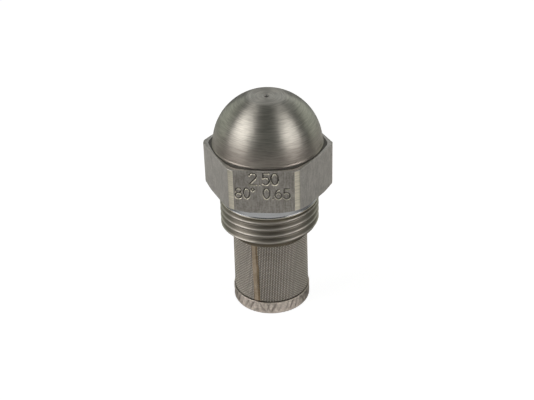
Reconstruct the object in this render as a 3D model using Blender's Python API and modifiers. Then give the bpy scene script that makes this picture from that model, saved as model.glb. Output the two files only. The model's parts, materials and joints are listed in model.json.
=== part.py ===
"""Oil burner nozzle: a hex-bodied pressure-jet nozzle with its swirl stem, lock screw and wire strainer.

Units are metres and +Z is up. The nozzle stands on its strainer cap. The origin is the centre of the cap's
underside, Z is the turning axis, and two flats of the hexagon face -Y and +Y.
"""

import math

import bmesh
import bpy
from mathutils import Euler, Matrix

MM = 0.001
INCH = 25.4 * MM

# Fits: small real gaps between neighbouring pieces
FIT = 0.05 * MM

# Nozzle body, outside. Heights are stacked up from the strainer cap's underside.
BODY_END = 13.0 * MM
SHANK_LENGTH = 6.1 * MM
HEX_BOTTOM = BODY_END + SHANK_LENGTH
HEX_HEIGHT = 6.55 * MM
HEX_TOP = HEX_BOTTOM + HEX_HEIGHT
HEX_ACROSS_FLATS = 16.0 * MM
HEX_CORNER_TRIM = 0.2376 * MM
HEX_CORNER_RADIUS = HEX_ACROSS_FLATS / 2 / math.cos(math.pi / 6) - HEX_CORNER_TRIM
HEX_CHAMFER_SLOPE = math.radians(30)
HEX_CHAMFER_WIDTH = 0.75 * MM
DOME_SHOULDER = 0.33 * MM
DOME_RADIUS = HEX_ACROSS_FLATS / 2 - DOME_SHOULDER
TOP_FLAT_RADIUS = 2.68 * MM
TOTAL_HEIGHT = HEX_TOP + math.sqrt(DOME_RADIUS**2 - TOP_FLAT_RADIUS**2)
NECK_GROOVE_DEPTH = 0.15 * MM
NECK_GROOVE_HEIGHT = 0.2 * MM
ADAPTER_THREAD_RADIUS = 14.15 / 2 * MM
ADAPTER_THREAD_PITCH = INCH / 24
ADAPTER_THREAD_LENGTH = 4.3 * MM
COLLAR_RELIEF = 0.075 * MM
COLLAR_UNDERCUT = 0.13 * MM

# Orifice and swirl chamber
ORIFICE_RADIUS = 0.3 * MM
ORIFICE_LENGTH = 0.4 * MM
ORIFICE_FLARE = 0.08 * MM
SWIRL_CHAMBER_RADIUS = 0.9 * MM
SWIRL_CHAMBER_DEPTH = 0.75 * MM
SEAT_SLOPE = math.radians(45)

# Distributor, the stem with the tangential slots
STEM_BORE_RADIUS = 3.4 * MM
STEM_RADIUS = STEM_BORE_RADIUS - FIT
STEM_LENGTH = 6.4 * MM
STEM_WAIST_DEPTH = 0.75 * MM
STEM_LAND = 1.1 * MM
STEM_TIP_RADIUS = SWIRL_CHAMBER_RADIUS + 2 * FIT
STEM_FLATS = 3
STEM_FLAT_DEPTH = 0.5 * MM
SWIRL_SLOTS = 4
SWIRL_SLOT_WIDTH = 0.4 * MM
SWIRL_SLOT_DEPTH = 0.35 * MM

# Lock screw
LOCK_THREAD_RADIUS = 4.0 * MM
LOCK_THREAD_PITCH = 0.75 * MM
LOCK_BORE_RADIUS = LOCK_THREAD_RADIUS + FIT
LOCK_BORE_RELIEF = 0.3 * MM
LOCK_RECESS = 0.4 * MM
LOCK_NOSE_RADIUS = 2.3 * MM
LOCK_NOSE_LENGTH = 1.55 * MM
LOCK_NOSE_CHAMFER = 0.2 * MM
LOCK_DRILL_RADIUS = 1.4 * MM
LOCK_ROOF = 0.85 * MM
LOCK_CROSS_HOLE_RADIUS = 0.4 * MM
LOCK_SLOT_WIDTH = 1.0 * MM
LOCK_SLOT_DEPTH = 1.1 * MM

# Strainer ferrule and screen
FERRULE_THREAD_RADIUS = 4.76 * MM
FERRULE_THREAD_PITCH = INCH / 32
FERRULE_BORE_RADIUS = 2.8 * MM
STRAINER_BORE_RADIUS = FERRULE_THREAD_RADIUS + FIT
STRAINER_BORE_DEPTH = 4.3 * MM
STRAINER_BORE_TOP = BODY_END + STRAINER_BORE_DEPTH
BORE_CHAMFER = 0.15 * MM
FERRULE_TOP_GAP = 0.3 * MM
SCREEN_TOP_RADIUS = 5.36 * MM
SCREEN_TAPER = 0.09 * MM
SCREEN_BOTTOM_RADIUS = SCREEN_TOP_RADIUS + SCREEN_TAPER
SCREEN_THICKNESS = 0.2 * MM
SCREEN_TUCK = 0.15 * MM
SKIRT_WALL = 0.21 * MM
FLANGE_LAP = 0.8 * MM
FERRULE_FLANGE_RADIUS = max(STRAINER_BORE_RADIUS + FLANGE_LAP, SCREEN_TOP_RADIUS + FIT + SKIRT_WALL)
FERRULE_FLANGE_THICKNESS = 0.3 * MM
FERRULE_SKIRT_LENGTH = 0.85 * MM
SPIGOT_RADIUS = SCREEN_TOP_RADIUS - SCREEN_THICKNESS - FIT
SPIGOT_WALL = 0.65 * MM
SPIGOT_LENGTH = 2.05 * MM
SPIGOT_SOCKET_DEPTH = 1.3 * MM
SEAM_ANGLE = math.radians(-20)
SEAM_WIDTH = 0.62 * MM
SEAM_THICKNESS = 0.12 * MM

# Strainer core and cap
CORE_RADIUS = SPIGOT_RADIUS - SPIGOT_WALL - FIT
CORE_WALL = 0.45 * MM
CORE_HOLE_ROWS = 3
CORE_HOLES_ROUND = 3
CORE_HOLE_RADIUS = 0.55 * MM
CAP_HEIGHT = 2.05 * MM
CAP_BASE = 0.8 * MM
CAP_RIM_INNER_RADIUS = SCREEN_BOTTOM_RADIUS - SCREEN_TUCK + FIT
CAP_RIM_WALL = 0.28 * MM
CAP_RADIUS = CAP_RIM_INNER_RADIUS + CAP_RIM_WALL
CAP_FOOT_INSET = 0.35 * MM
CAP_FOOT_HEIGHT = 0.45 * MM
CAP_FLUTES = 40
CAP_FLUTE_DEPTH = 0.1 * MM
PLUG_HEIGHT = 1.75 * MM

# Fineness of the round pieces
BODY_STEPS = 48
SMALL_STEPS = 36
DOME_POINTS = 12
DRILL_STEPS = 16
SHARP_ANGLE = math.radians(35)
THREAD_DEPTH_RATIO = 0.5
MERGE_DISTANCE = 0.00001
CUTTER_MARGIN = 3.0 * MM
HEX_FLATS = 6


def clear_scene():
    """Removes every object that the scene starts with."""
    for obj in list(bpy.data.objects):
        bpy.data.objects.remove(obj)


def new_collection(name):
    """Makes a collection under the scene's own one."""
    collection = bpy.data.collections.new(name)
    bpy.context.scene.collection.children.link(collection)
    return collection


def metal(name, colour, roughness):
    """A Principled metal of that colour and roughness."""
    made = bpy.data.materials.new(name)
    made.use_nodes = True
    shader = made.node_tree.nodes["Principled BSDF"]
    shader.inputs["Base Color"].default_value = (*colour, 1)
    shader.inputs["Metallic"].default_value = 1
    shader.inputs["Roughness"].default_value = roughness
    return made


def add_object(name, mesh, collection):
    """Wraps a mesh in an object of that name."""
    obj = bpy.data.objects.new(name, mesh)
    collection.objects.link(obj)
    return obj


def turned(name, profile, closed, steps, collection):
    """A turned piece. The profile's (radius, height) points run down the outer side, in the XZ plane."""
    mesh = bpy.data.meshes.new(name)
    edges = [(i, i + 1) for i in range(len(profile) - 1)]
    if closed:
        edges.append((len(profile) - 1, 0))
    mesh.from_pydata([(radius, 0, height) for radius, height in profile], edges, [])
    obj = add_object(name, mesh, collection)
    screw = obj.modifiers.new("Turning", "SCREW")
    screw.axis = "Z"
    screw.steps = steps
    screw.render_steps = steps
    screw.use_merge_vertices = True
    screw.merge_threshold = MERGE_DISTANCE
    screw.use_smooth_shade = False
    return obj


def as_cutter(obj):
    """Marks an object as a cutter, which isn't part of the model."""
    obj.hide_render = True
    obj.display_type = "WIRE"
    return obj


def box_cutter(name, size, centre, rotation, collection):
    """A box of that size, placed by its centre and turned about it."""
    shape = bmesh.new()
    bmesh.ops.create_cube(shape, size=1)
    bmesh.ops.scale(shape, verts=shape.verts, vec=size)
    obj = finish_cutter(name, shape, collection)
    obj.location = centre
    obj.rotation_euler = rotation
    return obj


def rod_cutter(name, radius, length, centre, rotation, collection):
    """A round rod along its own Z axis, placed by its centre and turned about it."""
    shape = bmesh.new()
    bmesh.ops.create_cone(
        shape, cap_ends=True, segments=DRILL_STEPS, radius1=radius, radius2=radius, depth=length
    )
    obj = finish_cutter(name, shape, collection)
    obj.location = centre
    obj.rotation_euler = rotation
    return obj


def finish_cutter(name, shape, collection):
    """Turns a bmesh shape into a cutter object."""
    mesh = bpy.data.meshes.new(name)
    shape.to_mesh(mesh)
    shape.free()
    return as_cutter(add_object(name, mesh, collection))


def combine(obj, cutter, operation):
    """Adds a Boolean of that operation to the object."""
    boolean = obj.modifiers.new(cutter.name, "BOOLEAN")
    boolean.operation = operation
    boolean.solver = "EXACT"
    boolean.object = cutter


def arc(centre_height, radius, start_height, end_height, count):
    """Points down a round outline whose centre is on the axis, between two heights."""
    start = math.asin((start_height - centre_height) / radius)
    end = math.asin((end_height - centre_height) / radius)
    angles = [start + (end - start) * i / (count - 1) for i in range(count)]
    return [(radius * math.cos(a), centre_height + radius * math.sin(a)) for a in angles]


def thread_ridges(crest_radius, pitch, top, bottom):
    """Ring-shaped ridges of a thread's depth and pitch, from the top down, that start and end at a root."""
    root_radius = crest_radius - THREAD_DEPTH_RATIO * pitch
    count = int((top - bottom) / pitch)
    start = bottom + count * pitch
    points = [(root_radius, start)]
    for i in range(count):
        points.append((crest_radius, start - (i + 0.5) * pitch))
        points.append((root_radius, start - (i + 1) * pitch))
    return points


def seat_top():
    """Height where the distributor's conical seat meets the swirl chamber."""
    return TOTAL_HEIGHT - ORIFICE_FLARE - ORIFICE_LENGTH - SWIRL_CHAMBER_DEPTH


def seat_bottom():
    """Height where the distributor's conical seat meets its bore."""
    return seat_top() - (STEM_BORE_RADIUS - SWIRL_CHAMBER_RADIUS) * math.tan(SEAT_SLOPE)


def stem_cone_foot():
    """Height of the foot of the stem's cone, which lies along the seat with the fit's gap between them."""
    return seat_bottom() - FIT * math.tan(SEAT_SLOPE / 2)


def stem_bottom():
    """Height of the stem's flat back, which the lock screw presses on."""
    return stem_cone_foot() - STEM_LENGTH


def make_nozzle_body(parts, cutters):
    """The body: dome, hexagon, collar and thread outside; seat, bores and orifice inside."""
    groove_top = HEX_TOP + NECK_GROOVE_HEIGHT
    neck = DOME_RADIUS - NECK_GROOVE_DEPTH
    chamfer_rise = HEX_CHAMFER_WIDTH * math.tan(HEX_CHAMFER_SLOPE)
    collar = ADAPTER_THREAD_RADIUS - COLLAR_RELIEF
    thread_top = BODY_END + ADAPTER_THREAD_LENGTH
    lock_bore_top = stem_bottom() + LOCK_BORE_RELIEF
    chamber_top = seat_top() + SWIRL_CHAMBER_DEPTH
    outside = [
        (TOP_FLAT_RADIUS, TOTAL_HEIGHT),
        *arc(HEX_TOP, DOME_RADIUS, TOTAL_HEIGHT, groove_top, DOME_POINTS)[1:],
        (neck, groove_top - NECK_GROOVE_DEPTH / 2),
        (neck, HEX_TOP),
        (HEX_CORNER_RADIUS, HEX_TOP),
        (HEX_CORNER_RADIUS, HEX_BOTTOM + chamfer_rise),
        (HEX_CORNER_RADIUS - HEX_CHAMFER_WIDTH, HEX_BOTTOM),
        (collar, HEX_BOTTOM),
        (collar, thread_top + COLLAR_UNDERCUT),
        *thread_ridges(ADAPTER_THREAD_RADIUS, ADAPTER_THREAD_PITCH, thread_top, BODY_END),
    ]
    inside = [
        (STRAINER_BORE_RADIUS + BORE_CHAMFER, BODY_END),
        (STRAINER_BORE_RADIUS, BODY_END + BORE_CHAMFER),
        (STRAINER_BORE_RADIUS, STRAINER_BORE_TOP),
        (LOCK_BORE_RADIUS, STRAINER_BORE_TOP),
        (LOCK_BORE_RADIUS, lock_bore_top),
        (STEM_BORE_RADIUS, lock_bore_top),
        (STEM_BORE_RADIUS, seat_bottom()),
        (SWIRL_CHAMBER_RADIUS, seat_top()),
        (ORIFICE_RADIUS, chamber_top),
        (ORIFICE_RADIUS, chamber_top + ORIFICE_LENGTH),
        (ORIFICE_RADIUS + ORIFICE_FLARE, TOTAL_HEIGHT),
    ]
    body = turned("nozzle_body", outside + inside, True, BODY_STEPS, parts)
    slab_centre = (HEX_ACROSS_FLATS + CUTTER_MARGIN) / 2
    for i in range(HEX_FLATS):
        turn = math.pi / 2 + 2 * math.pi * i / HEX_FLATS
        slab = box_cutter(
            f"hex_flat_{i + 1}",
            (CUTTER_MARGIN, HEX_ACROSS_FLATS, HEX_HEIGHT + 2 * FIT),
            (slab_centre * math.cos(turn), slab_centre * math.sin(turn), (HEX_BOTTOM + HEX_TOP) / 2),
            Euler((0, 0, turn)),
            cutters,
        )
        combine(body, slab, "DIFFERENCE")
    return body


def make_distributor(parts, cutters):
    """The swirl stem: a waisted plug with a slotted cone that lies in the body's seat."""
    bottom = stem_bottom()
    cone_foot = stem_cone_foot()
    tip = cone_foot + (STEM_RADIUS - STEM_TIP_RADIUS) * math.tan(SEAT_SLOPE)
    waist = STEM_RADIUS - STEM_WAIST_DEPTH
    stem = turned(
        "distributor",
        [
            (0, tip),
            (STEM_TIP_RADIUS, tip),
            (STEM_RADIUS, cone_foot),
            (STEM_RADIUS, cone_foot - STEM_LAND),
            (waist, cone_foot - STEM_LAND - STEM_WAIST_DEPTH),
            (waist, bottom + STEM_LAND + STEM_WAIST_DEPTH),
            (STEM_RADIUS, bottom + STEM_LAND),
            (STEM_RADIUS, bottom),
            (0, bottom),
        ],
        False,
        SMALL_STEPS,
        parts,
    )
    for i in range(STEM_FLATS):
        turn = 2 * math.pi * i / STEM_FLATS
        out = STEM_RADIUS - STEM_FLAT_DEPTH + CUTTER_MARGIN / 2
        flat = box_cutter(
            f"stem_flat_{i + 1}",
            (CUTTER_MARGIN, 4 * STEM_RADIUS, 2 * STEM_LENGTH),
            (out * math.cos(turn), out * math.sin(turn), cone_foot - STEM_LENGTH),
            Euler((0, 0, turn)),
            cutters,
        )
        combine(stem, flat, "DIFFERENCE")
    middle_radius = (STEM_RADIUS + STEM_TIP_RADIUS) / 2
    middle_height = (cone_foot + tip) / 2
    offset = STEM_TIP_RADIUS - SWIRL_SLOT_WIDTH / 2
    for i in range(SWIRL_SLOTS):
        turn = 2 * math.pi * (i + 0.5) / SWIRL_SLOTS
        place = Matrix.Rotation(turn, 4, "Z") @ Matrix.Translation((middle_radius, offset, middle_height))
        place = place @ Matrix.Rotation(SEAT_SLOPE, 4, "Y")
        slot = box_cutter(
            f"swirl_slot_{i + 1}",
            (2 * (STEM_RADIUS - STEM_TIP_RADIUS), SWIRL_SLOT_WIDTH, 2 * SWIRL_SLOT_DEPTH),
            place.to_translation(),
            place.to_euler(),
            cutters,
        )
        combine(stem, slot, "DIFFERENCE")
    return stem


def make_lock_screw(parts, cutters):
    """The retainer behind the stem: threaded, slotted for a screwdriver, and drilled for the oil."""
    top = stem_bottom() - FIT
    bottom = STRAINER_BORE_TOP + LOCK_RECESS
    thread_top = top - LOCK_NOSE_LENGTH
    ridges = thread_ridges(LOCK_THREAD_RADIUS, LOCK_THREAD_PITCH, thread_top, bottom)
    root = ridges[0][0]
    drill_top = top - LOCK_ROOF
    screw = turned(
        "lock_screw",
        [
            (0, top),
            (LOCK_NOSE_RADIUS - LOCK_NOSE_CHAMFER, top),
            (LOCK_NOSE_RADIUS, top - LOCK_NOSE_CHAMFER),
            (LOCK_NOSE_RADIUS, thread_top),
            (root, thread_top),
            *ridges[1:-1],
            (root, bottom),
            (LOCK_DRILL_RADIUS, bottom),
            (LOCK_DRILL_RADIUS, drill_top),
            (0, drill_top + LOCK_ROOF / 2),
        ],
        False,
        SMALL_STEPS,
        parts,
    )
    slot = box_cutter(
        "driver_slot",
        (4 * LOCK_THREAD_RADIUS, LOCK_SLOT_WIDTH, 2 * LOCK_SLOT_DEPTH),
        (0, 0, bottom),
        Euler((0, 0, 0)),
        cutters,
    )
    combine(screw, slot, "DIFFERENCE")
    for i in range(2):
        hole = rod_cutter(
            f"cross_hole_{i + 1}",
            LOCK_CROSS_HOLE_RADIUS,
            4 * LOCK_NOSE_RADIUS,
            (0, 0, thread_top + 2 * FIT + LOCK_CROSS_HOLE_RADIUS),
            Euler((math.pi / 2, 0, i * math.pi / 2)),
            cutters,
        )
        combine(screw, hole, "DIFFERENCE")
    return screw


def channel_top():
    """Height of the roof of the ferrule's channel, which the screen's upper edge goes into."""
    return BODY_END - FIT - FERRULE_FLANGE_THICKNESS


def skirt_bottom():
    """Height of the lower edge of the ferrule's skirt."""
    return channel_top() - FERRULE_SKIRT_LENGTH


def spigot_bottom():
    """Height of the lower end of the ferrule's spigot."""
    return channel_top() - SPIGOT_LENGTH


def make_strainer_ferrule(parts):
    """The threaded collar that carries the screen: thread, flange, skirt over the screen and spigot in it."""
    top = STRAINER_BORE_TOP - FERRULE_TOP_GAP
    ridges = thread_ridges(FERRULE_THREAD_RADIUS, FERRULE_THREAD_PITCH, top, BODY_END)
    root = ridges[0][0]
    skirt_inner = SCREEN_TOP_RADIUS + FIT
    socket = SPIGOT_RADIUS - SPIGOT_WALL
    return turned(
        "strainer_ferrule",
        [
            (root, top),
            *ridges[1:-1],
            (root, BODY_END - FIT),
            (FERRULE_FLANGE_RADIUS, BODY_END - FIT),
            (FERRULE_FLANGE_RADIUS, skirt_bottom()),
            (skirt_inner, skirt_bottom()),
            (skirt_inner, channel_top()),
            (SPIGOT_RADIUS, channel_top()),
            (SPIGOT_RADIUS, spigot_bottom()),
            (socket, spigot_bottom()),
            (socket, spigot_bottom() + SPIGOT_SOCKET_DEPTH),
            (FERRULE_BORE_RADIUS, spigot_bottom() + SPIGOT_SOCKET_DEPTH),
            (FERRULE_BORE_RADIUS, top),
        ],
        True,
        BODY_STEPS,
        parts,
    )


def make_strainer_mesh(parts):
    """The wire-cloth sleeve as a plain tube. Its lower end is drawn in to fit inside the cap's rim."""
    top = channel_top() - FIT
    bottom = CAP_BASE + FIT
    cap_top = CAP_HEIGHT + FIT
    tucked = SCREEN_BOTTOM_RADIUS - SCREEN_TUCK
    return turned(
        "strainer_mesh",
        [
            (SCREEN_TOP_RADIUS, top),
            (SCREEN_BOTTOM_RADIUS, cap_top + SCREEN_TUCK),
            (tucked, cap_top),
            (tucked, bottom),
            (tucked - SCREEN_THICKNESS, bottom),
            (tucked - SCREEN_THICKNESS, cap_top),
            (SCREEN_BOTTOM_RADIUS - SCREEN_THICKNESS, cap_top + SCREEN_TUCK),
            (SCREEN_TOP_RADIUS - SCREEN_THICKNESS, top),
        ],
        True,
        BODY_STEPS,
        parts,
    )


def make_lap_seam(parts):
    """The strip of the screen's lap seam, which leans outwards with the slight taper of the screen."""
    top = skirt_bottom() - FIT
    bottom = CAP_HEIGHT + SCREEN_TUCK + FIT
    middle = (top + bottom) / 2
    fall = SCREEN_TAPER / (channel_top() - bottom)
    screen_radius = SCREEN_BOTTOM_RADIUS - fall * (middle - bottom)
    reach = screen_radius + FIT + SEAM_THICKNESS / 2
    shape = bmesh.new()
    bmesh.ops.create_cube(shape, size=1)
    bmesh.ops.scale(shape, verts=shape.verts, vec=(SEAM_WIDTH, SEAM_THICKNESS, top - bottom))
    mesh = bpy.data.meshes.new("lap_seam")
    shape.to_mesh(mesh)
    shape.free()
    seam = add_object("lap_seam", mesh, parts)
    seam.location = (reach * math.sin(SEAM_ANGLE), -reach * math.cos(SEAM_ANGLE), middle)
    seam.rotation_euler = Euler((-math.atan(fall), 0, SEAM_ANGLE))
    rounding = seam.modifiers.new("Edges", "BEVEL")
    rounding.width = SEAM_THICKNESS / 4
    rounding.segments = 1
    return seam


def make_strainer_core(parts, cutters):
    """The drilled tube inside the screen, which joins the cap to the ferrule. No hole is opposite another."""
    bottom = CAP_BASE + FIT
    top = spigot_bottom() + SPIGOT_SOCKET_DEPTH - FIT
    inner = CORE_RADIUS - CORE_WALL
    core = turned(
        "strainer_core",
        [(CORE_RADIUS, top), (CORE_RADIUS, bottom), (inner, bottom), (inner, top)],
        True,
        SMALL_STEPS,
        parts,
    )
    first = CAP_BASE + PLUG_HEIGHT
    spacing = (spigot_bottom() - first) / CORE_HOLE_ROWS
    for row in range(CORE_HOLE_ROWS):
        height = first + (row + 0.5) * spacing
        for side in range(CORE_HOLES_ROUND):
            turn = 2 * math.pi * side / CORE_HOLES_ROUND - math.pi / 2
            hole = rod_cutter(
                f"core_hole_{row + 1}_{side + 1}",
                CORE_HOLE_RADIUS,
                CUTTER_MARGIN,
                (CORE_RADIUS * math.cos(turn), CORE_RADIUS * math.sin(turn), height),
                Euler((0, math.pi / 2, turn)),
                cutters,
            )
            combine(core, hole, "DIFFERENCE")
    return core


def make_end_cap(parts):
    """The pressed cup at the foot, with its rim fluted by the crimping rolls."""
    cap = turned(
        "end_cap",
        [
            (CAP_RADIUS, CAP_HEIGHT),
            (CAP_RADIUS, CAP_FOOT_HEIGHT),
            (CAP_RADIUS - CAP_FOOT_INSET, 0),
            (0, 0),
            (0, CAP_BASE),
            (CAP_RIM_INNER_RADIUS, CAP_BASE),
            (CAP_RIM_INNER_RADIUS, CAP_HEIGHT),
        ],
        True,
        2 * CAP_FLUTES,
        parts,
    )
    return flute_rim(cap)


def flute_rim(cap):
    """Turns the cap into a mesh and presses every second point of its outer wall inwards."""
    graph = bpy.context.evaluated_depsgraph_get()
    mesh = bpy.data.meshes.new_from_object(cap.evaluated_get(graph))
    cap.modifiers.clear()
    cap.data = mesh
    shape = bmesh.new()
    shape.from_mesh(mesh)
    bmesh.ops.remove_doubles(shape, verts=shape.verts, dist=MERGE_DISTANCE)
    for vert in shape.verts:
        reach = math.hypot(vert.co.x, vert.co.y)
        step = round(math.atan2(vert.co.y, vert.co.x) / (math.pi / CAP_FLUTES))
        if reach > CAP_RADIUS - CAP_RIM_WALL / 2 and step % 2:
            vert.co.xy *= (reach - CAP_FLUTE_DEPTH) / reach
    shape.to_mesh(mesh)
    shape.free()
    return cap


def make_cap_plug(parts):
    """The ring inside the screen's lower end that the rim is crimped against, and that holds the core."""
    outer = SCREEN_BOTTOM_RADIUS - SCREEN_TUCK - SCREEN_THICKNESS - FIT
    inner = CORE_RADIUS + FIT
    bottom = CAP_BASE + FIT
    top = CAP_BASE + PLUG_HEIGHT
    return turned(
        "cap_plug",
        [(outer, top), (outer, bottom), (inner, bottom), (inner, top)],
        True,
        SMALL_STEPS,
        parts,
    )


def smooth_round_faces(obj):
    """Shades a mesh smooth, with sharp edges kept where its faces meet steeply."""
    obj.data.shade_smooth()
    if obj.data.polygons:
        obj.data.set_sharp_from_angle(angle=SHARP_ANGLE)


def add_joint_empty(name, children):
    """An empty on the axis that a moving piece is placed from."""
    empty = bpy.data.objects.new(name, None)
    empty.empty_display_size = HEX_ACROSS_FLATS
    bpy.context.scene.collection.objects.link(empty)
    for child in children:
        child.parent = empty
    return empty


def main():
    """Builds the nozzle."""
    clear_scene()
    parts = new_collection("oil_burner_nozzle")
    cutters = new_collection("cutters")
    stainless = metal("stainless_steel", (0.42, 0.40, 0.37), 0.34)
    stem_steel = metal("stem_steel", (0.50, 0.48, 0.45), 0.30)
    brass = metal("turned_brass", (0.72, 0.55, 0.28), 0.32)
    dull_brass = metal("dull_brass", (0.30, 0.24, 0.16), 0.42)
    cloth = metal("wire_cloth", (0.45, 0.43, 0.40), 0.40)
    braze = metal("seam_braze", (0.52, 0.43, 0.33), 0.50)
    cap_metal = metal("plated_cap", (0.74, 0.67, 0.62), 0.45)

    body = make_nozzle_body(parts, cutters)
    distributor = make_distributor(parts, cutters)
    lock_screw = make_lock_screw(parts, cutters)
    ferrule = make_strainer_ferrule(parts)
    screen = make_strainer_mesh(parts)
    seam = make_lap_seam(parts)
    core = make_strainer_core(parts, cutters)
    cap = make_end_cap(parts)
    plug = make_cap_plug(parts)

    finishes = {
        body: stainless,
        distributor: stem_steel,
        lock_screw: brass,
        ferrule: dull_brass,
        screen: cloth,
        seam: braze,
        core: dull_brass,
        cap: cap_metal,
        plug: dull_brass,
    }
    for obj, finish in finishes.items():
        obj.data.materials.append(finish)
        smooth_round_faces(obj)
    add_joint_empty("strainer_axis", [ferrule, screen, seam, core, cap, plug])
    stem_axis = add_joint_empty("stem_axis", [distributor])
    lock_axis = add_joint_empty("lock_screw_axis", [lock_screw])
    lock_axis.parent = stem_axis


if __name__ == "__main__":
    main()
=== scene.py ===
"""Looks of the oil burner nozzle: fine meshes, finishes, floor, lights and camera around the fixed frame.

Units are metres. The nozzle stands on its strainer cap, Z is the turning axis, and one flat of the hexagon
faces -Y. Angles about Z are counted from -Y towards +X. CREASE is the width of the narrow rings that keep an
edge crisp, and CLOTH_TAPER is how much the wire cloth's radius shrinks per unit of height.
"""

import json
import logging
import math
from collections.abc import Iterable, Sequence
from dataclasses import dataclass, field
from enum import Enum, auto

import bpy
import numpy as np
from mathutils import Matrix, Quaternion, Vector

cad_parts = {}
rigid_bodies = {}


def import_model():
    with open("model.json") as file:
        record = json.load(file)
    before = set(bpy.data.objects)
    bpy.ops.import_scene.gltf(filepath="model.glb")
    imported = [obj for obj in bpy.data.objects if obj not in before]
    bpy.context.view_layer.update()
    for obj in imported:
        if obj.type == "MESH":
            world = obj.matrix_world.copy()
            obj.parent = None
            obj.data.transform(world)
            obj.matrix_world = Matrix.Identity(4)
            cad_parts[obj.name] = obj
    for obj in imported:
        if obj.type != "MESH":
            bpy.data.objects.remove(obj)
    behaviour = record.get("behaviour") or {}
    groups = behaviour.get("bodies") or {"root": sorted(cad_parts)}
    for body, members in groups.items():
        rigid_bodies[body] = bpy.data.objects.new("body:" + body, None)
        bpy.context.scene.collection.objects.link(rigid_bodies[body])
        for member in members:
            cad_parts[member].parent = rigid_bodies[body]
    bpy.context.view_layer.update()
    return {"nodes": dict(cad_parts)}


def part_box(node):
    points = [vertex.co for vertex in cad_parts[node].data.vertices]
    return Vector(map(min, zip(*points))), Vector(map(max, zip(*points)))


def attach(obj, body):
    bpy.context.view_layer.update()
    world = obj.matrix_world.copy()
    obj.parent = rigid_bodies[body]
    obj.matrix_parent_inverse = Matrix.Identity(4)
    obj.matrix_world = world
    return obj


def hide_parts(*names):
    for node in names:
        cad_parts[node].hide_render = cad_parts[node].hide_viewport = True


MM = 0.001
INCH = 25.4 * MM
CREASE = 0.02 * MM
CLOTH_TAPER = 0.0088
LOG = logging.getLogger("nozzle")
Colour = tuple[float, float, float]


# ----------------------------------------------------------------------------------------------------------
# Mesh making
# ----------------------------------------------------------------------------------------------------------


def smooth_minimum(first: np.ndarray, second: np.ndarray | float, width: float) -> np.ndarray:
    """Takes the smaller of two reaches, with a rounded change from one to the other.

    Args:
        first: The first reach at each point.
        second: The second reach.
        width: How far apart the two are where the rounding starts.

    Returns:
        The rounded smaller reach at each point.
    """
    share = np.clip(0.5 + 0.5 * (second - first) / width, 0, 1)
    return second * (1 - share) + first * share - width * share * (1 - share)


def thread_wave(turns: np.ndarray, crest_share: float, root_share: float) -> np.ndarray:
    """Gives the rise of a V thread, 0 at its root and 1 at its crest.

    Args:
        turns: Turns along the helix at each point. A whole number is at the middle of a crest.
        crest_share: Share of the pitch that the crest's flat takes.
        root_share: Share of the pitch that the root's flat takes.

    Returns:
        The rise at each point.
    """
    away = np.abs((turns + 0.5) % 1 - 0.5) * 2
    return np.clip((1 - root_share - away) / (1 - root_share - crest_share), 0, 1)


def around(reach: np.ndarray, angle: np.ndarray, height: np.ndarray) -> np.ndarray:
    """Gives the points at those distances from the Z axis, angles about it and heights."""
    height = np.broadcast_to(height, np.broadcast_shapes(reach.shape, angle.shape, height.shape))
    return np.stack([reach * np.sin(angle), -reach * np.cos(angle), height], axis=-1)


def stand_in(piece: bpy.types.Object, body: str, node: str) -> None:
    """Puts a piece in place of one of the frame's plain ones.

    Args:
        piece: The piece.
        body: The body that it rides on.
        node: The frame's piece that it stands for.
    """
    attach(piece, body)
    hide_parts(node)


class Skin:
    """A skin of quads about the Z axis that grows ring by ring, from the top of its outer side down."""

    def __init__(self, angles: np.ndarray) -> None:
        """Starts a skin.

        Args:
            angles: The angles about Z at which its columns stand.
        """
        self.angles = angles
        self.reaches: list[np.ndarray] = []
        self.heights: list[np.ndarray] = []
        self.slots: list[np.ndarray] = []

    def sweep(
        self, reach: np.ndarray | float, height: np.ndarray | float, slot: np.ndarray | int = 0
    ) -> None:
        """Adds rings.

        Args:
            reach: Distance from the axis, for one ring, for each of several, or for each point of each.
            height: Height, in the same way.
            slot: Number of the finish for the faces below the rings, for all or for each column.
        """
        reach = np.asarray(reach, float)
        height = np.asarray(height, float)
        reach = reach.reshape(-1, 1) if reach.ndim < 2 else reach
        height = height.reshape(-1, 1) if height.ndim < 2 else height
        rows = max(len(reach), len(height))
        shape = (rows, len(self.angles))
        self.reaches.extend(np.broadcast_to(reach, shape))
        self.heights.extend(np.broadcast_to(height, shape))
        self.slots.extend(np.broadcast_to(np.asarray(slot), shape))

    def build(self, name: str, closed: bool) -> bpy.types.Object:
        """Makes the object.

        Args:
            name: The object's name.
            closed: True if the last ring joins the first, and False if a point on the axis closes each end.

        Returns:
            The object, shaded smooth.
        """
        reach = np.array(self.reaches)
        height = np.array(self.heights)
        rows, columns = reach.shape
        points = around(reach, self.angles, height).reshape(-1, 3)
        index = np.arange(rows * columns).reshape(rows, columns)
        beside = np.roll(index, -1, axis=1)
        if closed:
            below, below_beside = np.roll(index, -1, axis=0), np.roll(beside, -1, axis=0)
            upper, upper_beside = index, beside
            slots = np.array(self.slots)
        else:
            below, below_beside = index[1:], beside[1:]
            upper, upper_beside = index[:-1], beside[:-1]
            slots = np.array(self.slots)[:-1]
        quads = np.stack([upper, below, below_beside, upper_beside], axis=-1).reshape(-1, 4).tolist()
        marks = slots.reshape(-1).tolist()
        if not closed:
            ends = [(0.0, 0.0, height[0].mean()), (0.0, 0.0, height[-1].mean())]
            first, last = len(points), len(points) + 1
            points = np.concatenate([points, ends])
            quads += [(first, int(a), int(b)) for a, b in zip(index[0], beside[0])]
            quads += [(last, int(b), int(a)) for a, b in zip(index[-1], beside[-1])]
            marks += [int(self.slots[0][0])] * columns + [int(self.slots[-1][0])] * columns
        return mesh_object(name, points, quads, marks)


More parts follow.
